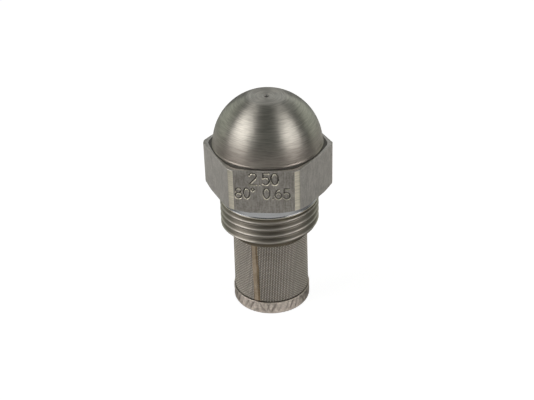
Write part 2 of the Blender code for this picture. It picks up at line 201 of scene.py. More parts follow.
def mesh_object(
    name: str, points: np.ndarray, faces: Sequence[Sequence[int]], slots: Sequence[int] | None = None
) -> bpy.types.Object:
    """Makes an object of points and faces, shaded smooth.

    Args:
        name: The object's name.
        points: The points, one row each.
        faces: The point numbers of each face.
        slots: The number of the finish that each face wears, if there are several.

    Returns:
        The object, linked to the scene.
    """
    mesh = bpy.data.meshes.new(name)
    mesh.from_pydata(points.tolist(), [], faces)
    if slots is not None:
        mesh.polygons.foreach_set("material_index", np.asarray(slots, np.int32))
    mesh.shade_smooth()
    mesh.update()
    made = bpy.data.objects.new(name, mesh)
    bpy.context.scene.collection.objects.link(made)
    return made


def tubes(name: str, rings: np.ndarray, looped: bool) -> bpy.types.Object:
    """Makes several tubes in one object.

    Args:
        name: The object's name.
        rings: Points by tube, by ring along the tube, by place round the ring.
        looped: True if each tube's last ring joins its first, and False if its ends are closed flat.

    Returns:
        The object, shaded smooth.
    """
    count, length, sides, _ = rings.shape
    index = np.arange(count * length * sides).reshape(count, length, sides)
    beside = np.roll(index, -1, axis=2)
    if looped:
        onward, onward_beside = np.roll(index, -1, axis=1), np.roll(beside, -1, axis=1)
        start, start_beside = index, beside
    else:
        onward, onward_beside = index[:, 1:], beside[:, 1:]
        start, start_beside = index[:, :-1], beside[:, :-1]
    faces = np.stack([start, start_beside, onward_beside, onward], axis=-1).reshape(-1, 4).tolist()
    if not looped:
        faces += index[:, 0, ::-1].tolist() + index[:, -1].tolist()
    return mesh_object(name, rings.reshape(-1, 3), faces)


# ----------------------------------------------------------------------------------------------------------
# Finishes
# ----------------------------------------------------------------------------------------------------------


class Sum(Enum):
    """The steps of arithmetic that the finishes use."""

    ADD = auto()
    SUBTRACT = auto()
    MULTIPLY = auto()
    DIVIDE = auto()
    MAXIMUM = auto()
    ABSOLUTE = auto()


class Wiring:
    """The node tree of one material, with short ways to add its nodes and join them."""

    def __init__(self, name: str) -> None:
        """Starts a material with its Principled shader.

        Args:
            name: The material's name.
        """
        self.material = bpy.data.materials.new(name)
        self.material.use_nodes = True
        self.tree = self.material.node_tree
        self.shader = self.tree.nodes["Principled BSDF"]

    def put(self, socket: bpy.types.NodeSocket, value: object) -> None:
        """Joins a socket to another node's output, or sets it to a plain value.

        Args:
            socket: The input.
            value: The output that feeds it, or its value.
        """
        if isinstance(value, bpy.types.NodeSocket):
            self.tree.links.new(value, socket)
        else:
            socket.default_value = value

    def node(self, kind: str, **inputs: object) -> bpy.types.Node:
        """Adds a node.

        Args:
            kind: Blender's name for the node's type, without "ShaderNode".
            **inputs: Values or outputs for its inputs, by name with underscores for spaces.

        Returns:
            The node.
        """
        made = self.tree.nodes.new("ShaderNode" + kind)
        for name, value in inputs.items():
            self.put(made.inputs[name.replace("_", " ")], value)
        return made

    def sum_of(self, operation: Sum, first: object, second: object = 0.0) -> bpy.types.NodeSocket:
        """Does one step of arithmetic.

        Args:
            operation: Which step.
            first: The first number.
            second: The second number, where the step takes two.

        Returns:
            The result's output.
        """
        made = self.tree.nodes.new("ShaderNodeMath")
        made.operation = operation.name
        self.put(made.inputs[0], first)
        self.put(made.inputs[1], second)
        return made.outputs[0]

    def place(self) -> bpy.types.NodeSocket:
        """Gives each point's place in the object's own frame."""
        return self.node("TexCoord").outputs["Object"]

    def stretched(self, scale: tuple[float, float, float]) -> bpy.types.NodeSocket:
        """Gives each point's place, stretched by that much along X, Y and Z."""
        return self.node("Mapping", Vector=self.place(), Scale=scale).outputs["Vector"]

    def noise(
        self, place: object, per_metre: float, detail: float = 2.0, roughness: float = 0.5
    ) -> bpy.types.NodeSocket:
        """Gives a cloudy pattern from 0 to 1.

        Args:
            place: The place of each point.
            per_metre: How many blots there are to the metre.
            detail: How many finer layers are added.
            roughness: How strong the finer layers are.

        Returns:
            The pattern's output.
        """
        made = self.node("TexNoise", Vector=place, Scale=per_metre, Detail=detail, Roughness=roughness)
        return made.outputs["Fac"]

    def ramp(self, share: bpy.types.NodeSocket, low: object, high: object) -> bpy.types.NodeSocket:
        """Blends two numbers.

        Args:
            share: How much of the second number there is, from 0 to 1.
            low: The number where share is 0.
            high: The number where share is 1.

        Returns:
            The blend's output.
        """
        made = self.tree.nodes.new("ShaderNodeMapRange")
        self.put(made.inputs["Value"], share)
        self.put(made.inputs["To Min"], low)
        self.put(made.inputs["To Max"], high)
        return made.outputs["Result"]

    def blend_numbers(self, first: object, second: object, share: float) -> bpy.types.NodeSocket:
        """Mixes two patterns.

        Args:
            first: The first pattern.
            second: The second pattern.
            share: How much of the mix is the second pattern, from 0 to 1.

        Returns:
            The mix's output.
        """
        first = self.sum_of(Sum.MULTIPLY, first, 1 - share)
        return self.sum_of(Sum.ADD, first, self.sum_of(Sum.MULTIPLY, second, share))

    def between(self, value: bpy.types.NodeSocket, start: float, end: float) -> bpy.types.NodeSocket:
        """Makes a smooth step.

        Args:
            value: The number that the step follows.
            start: Where the step starts from 0.
            end: Where the step reaches 1.

        Returns:
            The step's output.
        """
        made = self.tree.nodes.new("ShaderNodeMapRange")
        made.interpolation_type = "SMOOTHSTEP"
        self.put(made.inputs["Value"], value)
        self.put(made.inputs["From Min"], start)
        self.put(made.inputs["From Max"], end)
        return made.outputs["Result"]

    def blend(self, share: object, first: object, second: object) -> bpy.types.NodeSocket:
        """Blends two colours.

        Args:
            share: How much of the second colour there is, from 0 to 1.
            first: The first colour.
            second: The second colour.

        Returns:
            The blend's output.
        """
        made = self.tree.nodes.new("ShaderNodeMix")
        made.data_type = "RGBA"
        self.put(made.inputs["Factor"], share)
        for socket, value in ((made.inputs["A"], first), (made.inputs["B"], second)):
            self.put(colour_socket(made, socket.name), opaque(value))
        return made.outputs[2]

    def reach(self) -> bpy.types.NodeSocket:
        """Gives each point's distance from the Z axis.

        Returns:
            The distance's output.
        """
        parts = self.node("SeparateXYZ", Vector=self.place())
        flat = self.node("CombineXYZ", X=parts.outputs["X"], Y=parts.outputs["Y"])
        away = self.node("VectorMath", Vector=flat.outputs["Vector"])
        away.operation = "LENGTH"
        return away.outputs["Value"]

    def height(self) -> bpy.types.NodeSocket:
        """Gives each point's height."""
        return self.node("SeparateXYZ", Vector=self.place()).outputs["Z"]

    def bump(self, height: bpy.types.NodeSocket, depth: float, strength: float = 1.0) -> None:
        """Roughens the shader's surface by a pattern whose 0 to 1 stands for that depth."""
        made = self.node("Bump", Height=height, Distance=depth, Strength=strength)
        self.put(self.shader.inputs["Normal"], made.outputs["Normal"])

    def glow(self, strength: float) -> None:
        """Makes the surface glow white, with no gloss.

        Args:
            strength: How strongly it glows.
        """
        self.shader.inputs["Specular IOR Level"].default_value = 0.0
        self.shader.inputs["Emission Color"].default_value = opaque((1.0, 1.0, 1.0))
        self.shader.inputs["Emission Strength"].default_value = strength


def colour_socket(node: bpy.types.Node, name: str) -> bpy.types.NodeSocket:
    """Finds the colour input of that name on a Mix node, which has inputs of several types."""
    return next(s for s in node.inputs if s.name == name and s.type == "RGBA")


def opaque(value: object) -> object:
    """Adds full opacity to a plain colour, and leaves an output as it is."""
    return (*value, 1.0) if isinstance(value, tuple) else value


@dataclass(frozen=True)
class Relief:
    """Painted shade on a relief round the axis: bright crests, and hollows painted dark as shade.

    Attributes:
        crest: Distance of the crests from the axis, at height 0.
        depth: How far inside the crests the hollows are fully painted dark.
        hollow: Colour of the painted shade in the hollows.
        fall: How much the crests' distance falls per unit of height.
    """

    crest: float
    depth: float
    hollow: Colour
    fall: float = 0.0

    def paint_hollow_shade(self, wiring: Wiring, body: bpy.types.NodeSocket) -> bpy.types.NodeSocket:
        """Paints shade into the hollows of a metal.

        Args:
            wiring: The metal's material.
            body: The colour of its crests.

        Returns:
            The output of the colour with the painted shade.
        """
        level = wiring.sum_of(Sum.MULTIPLY, wiring.height(), self.fall)
        reach = wiring.sum_of(Sum.ADD, wiring.reach(), level)
        # Painted shade: the colour darkens from the crests into the hollows.
        painted_lit = wiring.between(reach, self.crest - self.depth, self.crest)
        return wiring.blend(painted_lit, self.hollow, body)


@dataclass(frozen=True)
class Metal:
    """A metal's plain look, which each finish refines.

    Attributes:
        name: The material's name.
        colour: Its main colour.
        shade: The colour of its duller patches.
        roughness: How rough it is, from 0 to 1.
        relief: The shade painted into its relief's hollows, if it has any.
        change: Values of the finish's pattern between which the shade gives way to the colour.
        gloss: How much smoother and how much rougher than roughness it gets with the pattern.
    """

    name: str
    colour: Colour
    shade: Colour
    roughness: float
    relief: Relief | None = None
    change: tuple[float, float] = (0.3, 0.7)
    gloss: tuple[float, float] = (0.05, 0.06)

    def start(self) -> Wiring:
        """Starts the material as a bare metal of that roughness.

        Returns:
            The material's wiring.
        """
        wiring = Wiring(self.name)
        wiring.shader.inputs["Metallic"].default_value = 1.0
        wiring.shader.inputs["Roughness"].default_value = self.roughness
        return wiring

    def colour_by(self, wiring: Wiring, pattern: bpy.types.NodeSocket) -> bpy.types.NodeSocket:
        """Spreads the shade and the colour by a pattern, and paints the relief's hollows darker as painted
        shade.

        Args:
            wiring: The material.
            pattern: The pattern, from 0 to 1.

        Returns:
            The colour's output.
        """
        body = wiring.blend(wiring.between(pattern, *self.change), self.shade, self.colour)
        return self.relief.paint_hollow_shade(wiring, body) if self.relief else body

    def roughen_by(self, wiring: Wiring, pattern: bpy.types.NodeSocket) -> None:
        """Makes the metal smoother where a pattern is 0 and rougher where it is 1.

        Args:
            wiring: The material.
            pattern: The pattern.
        """
        smoother, rougher = self.gloss
        roughness = wiring.ramp(pattern, self.roughness - smoother, self.roughness + rougher)
        wiring.put(wiring.shader.inputs["Roughness"], roughness)


@dataclass(frozen=True)
class TurnedFinish(Metal):
    """Metal with the fine rings of a turning tool.

    Attributes:
        ring_width: Width of the main rings.
        ring_depth: Depth of the rings.
        spread: How short the rings' strokes are, from 0 for whole rings.
        anisotropy: How far the rings draw out a highlight.
        tint: Colour of a painted reflection of a brown surface, strongest near the foot of the turned face.
        tint_heights: Heights between which the painted reflection fades out.
        tint_strength: Strength of the painted reflection.
    """

    ring_width: float = 0.16 * MM
    ring_depth: float = 0.004 * MM
    spread: float = 0.02
    anisotropy: float = 0.6
    tint: Colour = (0.4, 0.3, 0.26)
    tint_heights: tuple[float, float] = (0.0, 1.0)
    tint_strength: float = 0.0

    def material(self) -> bpy.types.Material:
        """Makes the material.

        Returns:
            The material.
        """
        wiring = self.start()
        along = wiring.stretched((self.spread, self.spread, 0.0))
        ring = wiring.node("CombineXYZ", Z=wiring.sum_of(Sum.SUBTRACT, wiring.height(), wiring.reach()))
        place = wiring.node("VectorMath", Vector=along)
        wiring.put(place.inputs[1], ring.outputs["Vector"])
        place = place.outputs["Vector"]
        rings = wiring.noise(place, 1 / self.ring_width, detail=2.0, roughness=0.6)
        body = self.colour_by(wiring, rings)
        # Painted reflection: a brownish tint, strongest at the foot of the turned face and fading out upward.
        if self.tint_strength:
            fade = wiring.between(wiring.height(), self.tint_heights[1], self.tint_heights[0])
            fade = wiring.sum_of(Sum.MULTIPLY, fade, self.tint_strength)
            body = wiring.blend(fade, body, self.tint)
        wiring.put(wiring.shader.inputs["Base Color"], body)
        self.roughen_by(wiring, rings)
        wiring.shader.inputs["Anisotropic"].default_value = self.anisotropy
        wiring.shader.inputs["Anisotropic Rotation"].default_value = 0.25
        tangent = wiring.tree.nodes.new("ShaderNodeTangent")
        tangent.direction_type = "RADIAL"
        tangent.axis = "Z"
        wiring.put(wiring.shader.inputs["Tangent"], tangent.outputs[0])
        wiring.bump(rings, self.ring_depth)
        return wiring.material


@dataclass(frozen=True)
class DrawnFinish(Metal):
    """Metal with the fine lengthwise lines of drawn bar.

    Attributes:
        line_width: Width of the lines.
        line_length: Length of the lines along Z.
        line_depth: Depth of the lines.
        grain_share: How much of the relief is an even grain.
        mottle: How many dull patches there are to the metre.
        mottle_share: How much of the colour's pattern is those patches.
    """

    change: tuple[float, float] = (0.34, 0.66)
    gloss: tuple[float, float] = (0.08, 0.08)
    line_width: float = 0.2 * MM
    line_length: float = 1.4 * MM
    line_depth: float = 0.016 * MM
    grain_share: float = 0.4
    mottle: float = 700.0
    mottle_share: float = 0.25

    def material(self) -> bpy.types.Material:
        """Makes the material.

        Returns:
            The material.
        """
        wiring = self.start()
        lines_place = wiring.stretched((1.0, 1.0, self.line_width / self.line_length))
        lines = wiring.noise(lines_place, 1 / self.line_width, detail=2.0, roughness=0.6)
        grain = wiring.noise(wiring.place(), 0.7 / self.line_width, detail=2.0, roughness=0.6)
        patches = wiring.noise(wiring.place(), self.mottle, detail=3.0)
        drawn = wiring.blend_numbers(lines, grain, self.grain_share)
        mottled = wiring.blend_numbers(drawn, patches, self.mottle_share)
        wiring.put(wiring.shader.inputs["Base Color"], self.colour_by(wiring, mottled))
        self.roughen_by(wiring, patches)
        wiring.bump(drawn, self.line_depth)
        return wiring.material


@dataclass(frozen=True)
class GrainyFinish(Metal):
    """Metal with a fine even grain, as pressed, brazed or drawn into wire.

    Attributes:
        grain_width: Width of one grain.
        grain_depth: Depth between grains.
        mottle: How many dull patches there are to the metre.
        mottle_share: How much of the colour's pattern is those patches.
    """

    change: tuple[float, float] = (0.32, 0.68)
    gloss: tuple[float, float] = (0.08, 0.1)
    grain_width: float = 0.12 * MM
    grain_depth: float = 0.006 * MM
    mottle: float = 500.0
    mottle_share: float = 0.4

    def material(self) -> bpy.types.Material:
        """Makes the material.

        Returns:
            The material.
        """
        wiring = self.start()
        grain = wiring.noise(wiring.place(), 1 / self.grain_width, detail=3.0, roughness=0.6)
        patches = wiring.noise(wiring.place(), self.mottle, detail=3.0)
        mottled = wiring.blend_numbers(grain, patches, self.mottle_share)
        wiring.put(wiring.shader.inputs["Base Color"], self.colour_by(wiring, mottled))
        self.roughen_by(wiring, grain)
        wiring.bump(grain, self.grain_depth)
        return wiring.material


# The dome's tint is a painted reflection of a brown surface, near its foot.
DOME_STEEL = TurnedFinish(
    "dome_steel",
    (0.53, 0.505, 0.46),
    (0.34, 0.323, 0.295),
    0.42,
    ring_width=0.14 * MM,
    ring_depth=0.011 * MM,
    spread=0.08,
    anisotropy=0.75,
    tint=(0.34, 0.265, 0.235),
    tint_heights=(26.6 * MM, 30.0 * MM),
    tint_strength=0.35,
)
FLAT_STEEL = DrawnFinish("flat_steel", (0.445, 0.418, 0.39), (0.235, 0.219, 0.203), 0.5)
# A lighter copy of the flats' steel for the five plain flats, their chamfer and the land: painted light, as
# these faces catch more light than the marked flat.
PAINTED_LIT_SIDE_STEEL = DrawnFinish("side_steel", (0.70, 0.665, 0.635), (0.49, 0.465, 0.44), 0.48, line_depth=0.008 * MM)
# Dark steel: painted shade in the neck under the lip and in the stamped strokes.
PAINTED_SHADE_STEEL = GrainyFinish("mark_steel", (0.20, 0.19, 0.175), (0.12, 0.115, 0.105), 0.6)
# The turned corners' own lighter steel, also used as a painted highlight on the bead under the collar and on
# the up-facing walls of the stamped strokes.
CORNER_AND_HIGHLIGHT_STEEL = TurnedFinish("corner_steel", (0.82, 0.765, 0.65), (0.62, 0.58, 0.49), 0.42, anisotropy=0.3)
# Collar steel with a bluish tint: a painted reflection of the cool-lit floor.
COLLAR_STEEL = TurnedFinish("collar_steel", (0.50, 0.505, 0.53), (0.42, 0.425, 0.44), 0.22, anisotropy=0.3)
# Its relief paints shade into the thread's roots and over the end face.
THREAD_STEEL = TurnedFinish(
    "thread_steel",
    (0.53, 0.495, 0.45),
    (0.42, 0.39, 0.355),
    0.38,
    Relief(7.08 * MM, 0.24 * MM, (0.24, 0.22, 0.19)),
    anisotropy=0.0,
)
BORE_STEEL = TurnedFinish("bore_steel", (0.36, 0.35, 0.33), (0.27, 0.26, 0.25), 0.38, anisotropy=0.3)
STEM_STEEL = TurnedFinish("stem_steel", (0.56, 0.55, 0.52), (0.44, 0.43, 0.41), 0.28, anisotropy=0.4)
TURNED_BRASS = TurnedFinish("turned_brass", (0.72, 0.55, 0.28), (0.58, 0.43, 0.21), 0.3, anisotropy=0.4)
# Brass painted dark for the ferrule: painted shadow under the body, where the ferrule meets the wire cloth.
PAINTED_SHADOW_BRASS = TurnedFinish("dull_brass", (0.17, 0.145, 0.11), (0.115, 0.098, 0.075), 0.48, anisotropy=0.2)
# Brass painted near black for the core and the plug inside the cloth: painted shade behind the wire cloth.
PAINTED_SHADE_BRASS = TurnedFinish("oiled_brass", (0.07, 0.06, 0.045), (0.05, 0.04, 0.03), 0.6, anisotropy=0.0)
# The same steel wire twice: the round wires are painted darker than the uprights as painted shade, and each
# relief paints shade into the hollows of the weave.
UPRIGHT_STEEL = GrainyFinish(
    "upright_steel",
    (1.0, 0.95, 0.88),
    (0.93, 0.86, 0.78),
    0.36,
    Relief(5.47 * MM, 0.10 * MM, (0.10, 0.09, 0.08), CLOTH_TAPER),
)
ROUND_STEEL = GrainyFinish(
    "round_steel",
    (0.73, 0.655, 0.59),
    (0.58, 0.52, 0.465),
    0.4,
    Relief(5.49 * MM, 0.12 * MM, (0.07, 0.06, 0.05), CLOTH_TAPER),
)
SEAM_BRAZE = GrainyFinish("seam_braze", (0.50, 0.41, 0.32), (0.34, 0.27, 0.20), 0.5, grain_width=0.3 * MM)
# A dark strip beside the lap: a painted shadow in the cleft at the lap's edge.
SEAM_PAINTED_SHADOW = GrainyFinish("seam_edge", (0.38, 0.30, 0.21), (0.22, 0.17, 0.115), 0.6, grain_width=0.3 * MM)
# Its relief paints shade into the flutes' hollows and over the cup's inside.
CAP_PLATE = GrainyFinish(
    "cap_plate",
    (0.84, 0.755, 0.695),
    (0.48, 0.425, 0.385),
    0.46,
    Relief(5.63 * MM, 0.15 * MM, (0.27, 0.235, 0.21)),
    grain_width=0.34 * MM,
    grain_depth=0.02 * MM,
    mottle=900.0,
)
CAP_RIM = GrainyFinish(
    "cap_rim",
    (0.80, 0.72, 0.66),
    (0.40, 0.35, 0.31),
    0.46,
    grain_width=0.34 * MM,
    grain_depth=0.02 * MM,
)


class Zone(Enum):
    """The differently finished zones of one piece. A zone's value is its finish."""

    @property
    def slot(self) -> int:
        """Number of the zone's material slot."""
        return list(type(self)).index(self)

    @classmethod
    def dress(cls, piece: bpy.types.Object) -> None:
        """Gives a piece one material slot for each zone."""
        for zone in cls:
            piece.data.materials.append(zone.value.material())


# ----------------------------------------------------------------------------------------------------------
# Size marks
# ----------------------------------------------------------------------------------------------------------


@dataclass(frozen=True)
class Stroke:
    """One pass of a stamp's edge, as an arc of an ellipse or a straight bar.

    Attributes:
        centre: The ellipse's centre, or the bar's first end, in letter heights.
        size: The ellipse's half width and half height, or the bar's run to its second end.
        turn: The arc's first and last angle in degrees, or None on a bar.
    """

    centre: tuple[float, float]
    size: tuple[float, float]
    turn: tuple[float, float] | None = None

    def path(self) -> np.ndarray:
        """Lays out the stroke.

        Returns:
            Its points, in letter heights.
        """
        if self.turn is None:
            return np.array([self.centre, np.add(self.centre, self.size)])
        angles = np.radians(np.linspace(*self.turn, 20))
        return np.stack(
            [self.centre[0] + self.size[0] * np.cos(angles), self.centre[1] + self.size[1] * np.sin(angles)],
            axis=-1,
        )


NUMERALS = {
    "0": (Stroke((0.3, 0.5), (0.27, 0.5), (0, 360)),),
    "2": (
        Stroke((0.3, 0.72), (0.27, 0.28), (165, -35)),
        Stroke((0.52, 0.56), (-0.5, -0.56)),
        Stroke((0.02, 0.0), (0.56, 0.0)),
    ),
    "5": (
        Stroke((0.54, 1.0), (-0.42, 0.0)),
        Stroke((0.12, 1.0), (-0.04, -0.44)),
        Stroke((0.29, 0.32), (0.28, 0.32), (130, -140)),
    ),
    "6": (
        Stroke((0.3, 0.3), (0.27, 0.3), (0, 360)),
        Stroke((0.62, 0.3), (0.6, 0.7), (180, 118)),
    ),
    "8": (
        Stroke((0.3, 0.76), (0.22, 0.24), (0, 360)),
        Stroke((0.3, 0.27), (0.27, 0.27), (0, 360)),
    ),
    ".": (Stroke((0.12, 0.0), (0.02, 0.02)),),
    "o": (Stroke((0.14, 0.86), (0.12, 0.13), (0, 360)),),
}
NARROW = {".": 0.3, "o": 0.4, " ": 0.3}
WIDE = 0.7


@dataclass(frozen=True)
class Marking:
    """One line of stamped numerals on a flat.

    Attributes:
        text: The numerals. An "o" is a degree sign.
        middle: Place of the line's middle across the flat.
        level: Height of the line's middle.
        height: Height of the numerals.
        left_depth: Depth of the stamp at the line's left end.
        right_depth: Depth of the stamp at its right end.
        stroke: Width of a stroke.
    """

    text: str
    middle: float
    level: float
    height: float
    left_depth: float
    right_depth: float
    stroke: float = 0.2 * MM

    def cut(self, across: np.ndarray, up: np.ndarray) -> np.ndarray:
        """Finds how deep the numerals are at each point of the flat.

        Args:
            across: Each point's place across the flat.
            up: Each point's height.

        Returns:
            The depth at each point.
        """
        width = self.height * sum(NARROW.get(letter, WIDE) for letter in self.text)
        left = self.middle - width / 2
        bottom = self.level - self.height / 2
        nearest = np.full(across.shape, np.inf)
        pen = left
        for letter in self.text:
            for stroke in NUMERALS.get(letter, ()):
                path = stroke.path() * self.height + (pen, bottom)
                for start, end in zip(path[:-1], path[1:]):
                    nearest = np.minimum(nearest, self.distance(across, up, start, end))
            pen += self.height * NARROW.get(letter, WIDE)
        share = np.clip(1.5 - nearest / (self.stroke / 2), 0, 1)
        share = share * share * (3 - 2 * share)
        fade = np.clip((across - left) / width, 0, 1)
        return share * (self.left_depth * (1 - fade) + self.right_depth * fade)

    @staticmethod
    def distance(across: np.ndarray, up: np.ndarray, start: np.ndarray, end: np.ndarray) -> np.ndarray:
        """Finds how far each point is from the straight run between two points.

        Args:
            across: Each point's place across the flat.
            up: Each point's height.
            start: The run's first end.
            end: Its second end.

        Returns:
            The distance of each point.
        """
        run = end - start
        along = ((across - start[0]) * run[0] + (up - start[1]) * run[1]) / max(run @ run, 1e-12)
        along = np.clip(along, 0, 1)
        return np.hypot(across - start[0] - along * run[0], up - start[1] - along * run[1])


# ----------------------------------------------------------------------------------------------------------
# Nozzle body
# ----------------------------------------------------------------------------------------------------------


class BodyZone(Zone):
    """The body's zones."""

    DOME = DOME_STEEL
    FLAT = FLAT_STEEL
    PAINTED_LIT_SIDE = PAINTED_LIT_SIDE_STEEL
    PAINTED_SHADE = PAINTED_SHADE_STEEL
    CORNER_AND_HIGHLIGHT = CORNER_AND_HIGHLIGHT_STEEL
    COLLAR = COLLAR_STEEL
    THREAD = THREAD_STEEL
    BORE = BORE_STEEL


@dataclass
class NozzleBody:
    """The steel body: dome with its orifice, hexagon, collar, thread, and the bores inside."""

    hex_bottom: float = 19.1 * MM
    hex_top: float = 25.65 * MM
    chamfer_width: float = 0.75 * MM
    chamfer_slope: float = math.radians(30)
    edge: float = 0.035 * MM
    corner_blend: float = 0.03 * MM
    shading_slope: float = 0.012 * MM
    shaded_depth: float = 0.05 * MM
    wall_rows: int = 112
    underside: float = 0.6 * MM
    soft_edge: float = math.radians(0.35)
    marked_columns: int = 131
    plain_columns: int = 13
    corner_columns: int = 8
    dome_radius: float = 7.67 * MM
    dome_rows: int = 52
    dome_start: float = 0.012
    top_flat_radius: float = 2.68 * MM
    lip_height: float = 0.24 * MM
    lip_bead: float = 0.13 * MM
    lip_start: float = math.radians(75)
    lip_end: float = math.radians(-80)
    neck_depth: float = 0.08 * MM
    collar_radius: float = 7.0 * MM
    collar_bead: float = 0.065 * MM
    collar_bead_bend: float = math.radians(70)
    undercut: float = 0.13 * MM
    thread_crest: float = 7.075 * MM
    thread_pitch: float = INCH / 24
    thread_depth: float = 0.53 * MM
    thread_top: float = 17.3 * MM
    first_crest: float = 13.53 * MM
    thread_rows: int = 96
    end_chamfer: float = 0.3 * MM
    end_slope: float = math.radians(50)
    runout: float = 0.25 * MM
    strainer_bore: float = 4.81 * MM
    strainer_pitch: float = INCH / 32
    strainer_bore_top: float = 17.3 * MM
    strainer_bore_rows: int = 58
    mouth_chamfer: float = 0.15 * MM
    lock_bore: float = 4.05 * MM
    lock_pitch: float = 0.75 * MM
    lock_bore_top: float = 22.75 * MM
    lock_bore_rows: int = 56
    inner_thread_depth: float = 0.33 * MM
    stem_bore: float = 3.4 * MM
    chamber_radius: float = 0.9 * MM
    chamber_depth: float = 0.75 * MM
    orifice_radius: float = 0.3 * MM
    orifice_length: float = 0.4 * MM
    orifice_flare: float = 0.08 * MM
    markings: tuple[Marking, ...] = (
        Marking("2.50", 0.13 * MM, 24.4 * MM, 1.75 * MM, 0.13 * MM, 0.14 * MM),
        Marking("80o  0.65", -0.1 * MM, 22.15 * MM, 1.6 * MM, 0.14 * MM, 0.08 * MM),
    )
    low: Vector = field(default_factory=lambda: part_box("nozzle_body")[0])
    high: Vector = field(default_factory=lambda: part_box("nozzle_body")[1])

    @property
    def flat_distance(self) -> float:
        """Distance from the axis to a flat."""
        return self.high.y

    @property
    def corner_radius(self) -> float:
        """Radius of the turned corners."""
        return self.high.x

    @property
    def corner_angle(self) -> float:
        """Angle from a flat's middle to its edge at a turned corner."""
        return math.acos(self.flat_distance / self.corner_radius)

    def columns(self) -> np.ndarray:
        """Spaces the skin's columns: close together on the marked flat and at the edges.

        Returns:
            The columns' angles.
        """
        corner = self.corner_angle
        soft = self.soft_edge
        reach = math.tan(corner - 2 * soft)
        marked = np.arctan(np.linspace(-1, 1, self.marked_columns) * reach)
        plain = np.arctan(np.linspace(-1, 1, self.plain_columns) * reach)
        turned = np.linspace(corner - soft, math.pi / 3 - corner + soft, self.corner_columns)
        angles = []
        for side in range(6):
            flat = marked if side == 0 else plain
            angles.append(side * math.pi / 3 + flat)
            angles.append(side * math.pi / 3 + turned)
        return np.concatenate(angles)

    def add_top(self, skin: Skin) -> None:
        """Adds the orifice's rim, the small flat round it, the dome, its lip and the neck under it.

        Args:
            skin: The body's skin.
        """
        dome = BodyZone.DOME.slot
        top = self.high.z
        flare = self.orifice_flare
        rim = self.orifice_radius + flare
        skin.sweep(
            np.array([self.orifice_radius, rim - 0.3 * flare]),
            np.array([top - flare, top - 0.2 * flare]),
            BodyZone.BORE.slot,
        )
        skin.sweep(rim + CREASE, top, dome)
        skin.sweep(np.linspace(rim + 2.5 * CREASE, self.top_flat_radius - 4 * CREASE, 8), top, dome)
        start = math.asin((top - self.hex_top) / self.dome_radius) - self.dome_start
        end = math.asin((self.lip_height + 1.2 * self.lip_bead) / self.dome_radius)
        angles = np.linspace(start, end, self.dome_rows)
        skin.sweep(self.dome_radius * np.cos(angles), self.hex_top + self.dome_radius * np.sin(angles), dome)
        bead = np.linspace(self.lip_start, self.lip_end, 8)
        skin.sweep(
            self.dome_radius - 0.35 * self.lip_bead + self.lip_bead * np.cos(bead),
            self.hex_top + self.lip_height + self.lip_bead * np.sin(bead),
            dome,
        )
        # The neck under the lip takes the dark steel: painted shade in the groove.
        neck = self.dome_radius - self.neck_depth
        skin.sweep(
            np.array([neck + CREASE, neck, neck + CREASE]),
            self.hex_top + np.array([0.65 * self.lip_height, 0.35 * self.lip_height, 0.0]),
            BodyZone.PAINTED_SHADE.slot,
        )

    def add_hexagon(self, skin: Skin) -> None:
        """Adds the hexagon: its upper land, its flats and turned corners, its markings and its underside.

        Args:
            skin: The body's skin.
        """
        from_flat = (skin.angles + math.pi / 6) % (math.pi / 3) - math.pi / 6
        reach = smooth_minimum(self.flat_distance / np.cos(from_flat), self.corner_radius, self.corner_blend)
        marked = np.cos(skin.angles) > math.cos(self.corner_angle)
        slots = np.where(np.abs(from_flat) < self.corner_angle, BodyZone.PAINTED_LIT_SIDE.slot, BodyZone.CORNER_AND_HIGHLIGHT.slot)
        slots = np.where(marked, BodyZone.FLAT.slot, slots)
        chamfer_start = self.corner_radius - self.chamfer_width
        bottom = self.hex_bottom + np.maximum(reach - chamfer_start, 0) * math.tan(self.chamfer_slope)
        neck = self.dome_radius - self.neck_depth
        land = neck + (reach - self.edge - neck) * np.array([[0.5], [1.0]])
        # The land takes the lighter copy of the flats' steel: painted light.
        skin.sweep(land, self.hex_top, BodyZone.PAINTED_LIT_SIDE.slot)
        share = np.linspace(0, 1, self.wall_rows).reshape(-1, 1)
        wall = (self.hex_top - self.edge) * (1 - share) + (bottom + self.edge) * share
        across = self.flat_distance * np.tan(skin.angles)
        cut = np.zeros(wall.shape)
        for marking in self.markings:
            cut[:, marked] += marking.cut(np.broadcast_to(across, wall.shape)[:, marked], wall[:, marked])
        # Painted light on the stamped strokes: walls that face down and the strokes' deeper floors take the
        # dark steel as painted shade, and walls that face up take the corners' light steel as a painted
        # highlight.
        fall = np.diff(cut, axis=0, append=0.0)
        painted_lit = fall < -self.shading_slope
        painted_dark = (fall > self.shading_slope) | ((cut > self.shaded_depth) & ~painted_lit)
        wall_slots = np.where(painted_dark, BodyZone.PAINTED_SHADE.slot, np.where(painted_lit, BodyZone.CORNER_AND_HIGHLIGHT.slot, slots))
        skin.sweep(reach - cut / np.cos(from_flat), wall, wall_slots)
        under = np.minimum(reach, chamfer_start)
        skin.sweep((reach - self.edge)[None], bottom[None], slots)
        skin.sweep(under[None] - self.edge, self.hex_bottom, BodyZone.COLLAR.slot)
        inward = np.linspace(chamfer_start - self.underside, self.collar_radius + 1.5 * CREASE, 3)
        skin.sweep(inward, self.hex_bottom, BodyZone.COLLAR.slot)

    def add_shank(self, skin: Skin) -> None:
        """Adds the collar, the outer thread and the end face.

        Args:
            skin: The body's skin.
        """
        thread = BodyZone.THREAD.slot
        collar_foot = self.thread_top + self.undercut
        collar = np.linspace(self.hex_bottom - 1.5 * CREASE, collar_foot + 3 * CREASE, 8)
        skin.sweep(self.collar_radius, collar, BodyZone.COLLAR.slot)
        root = self.thread_crest - self.thread_depth
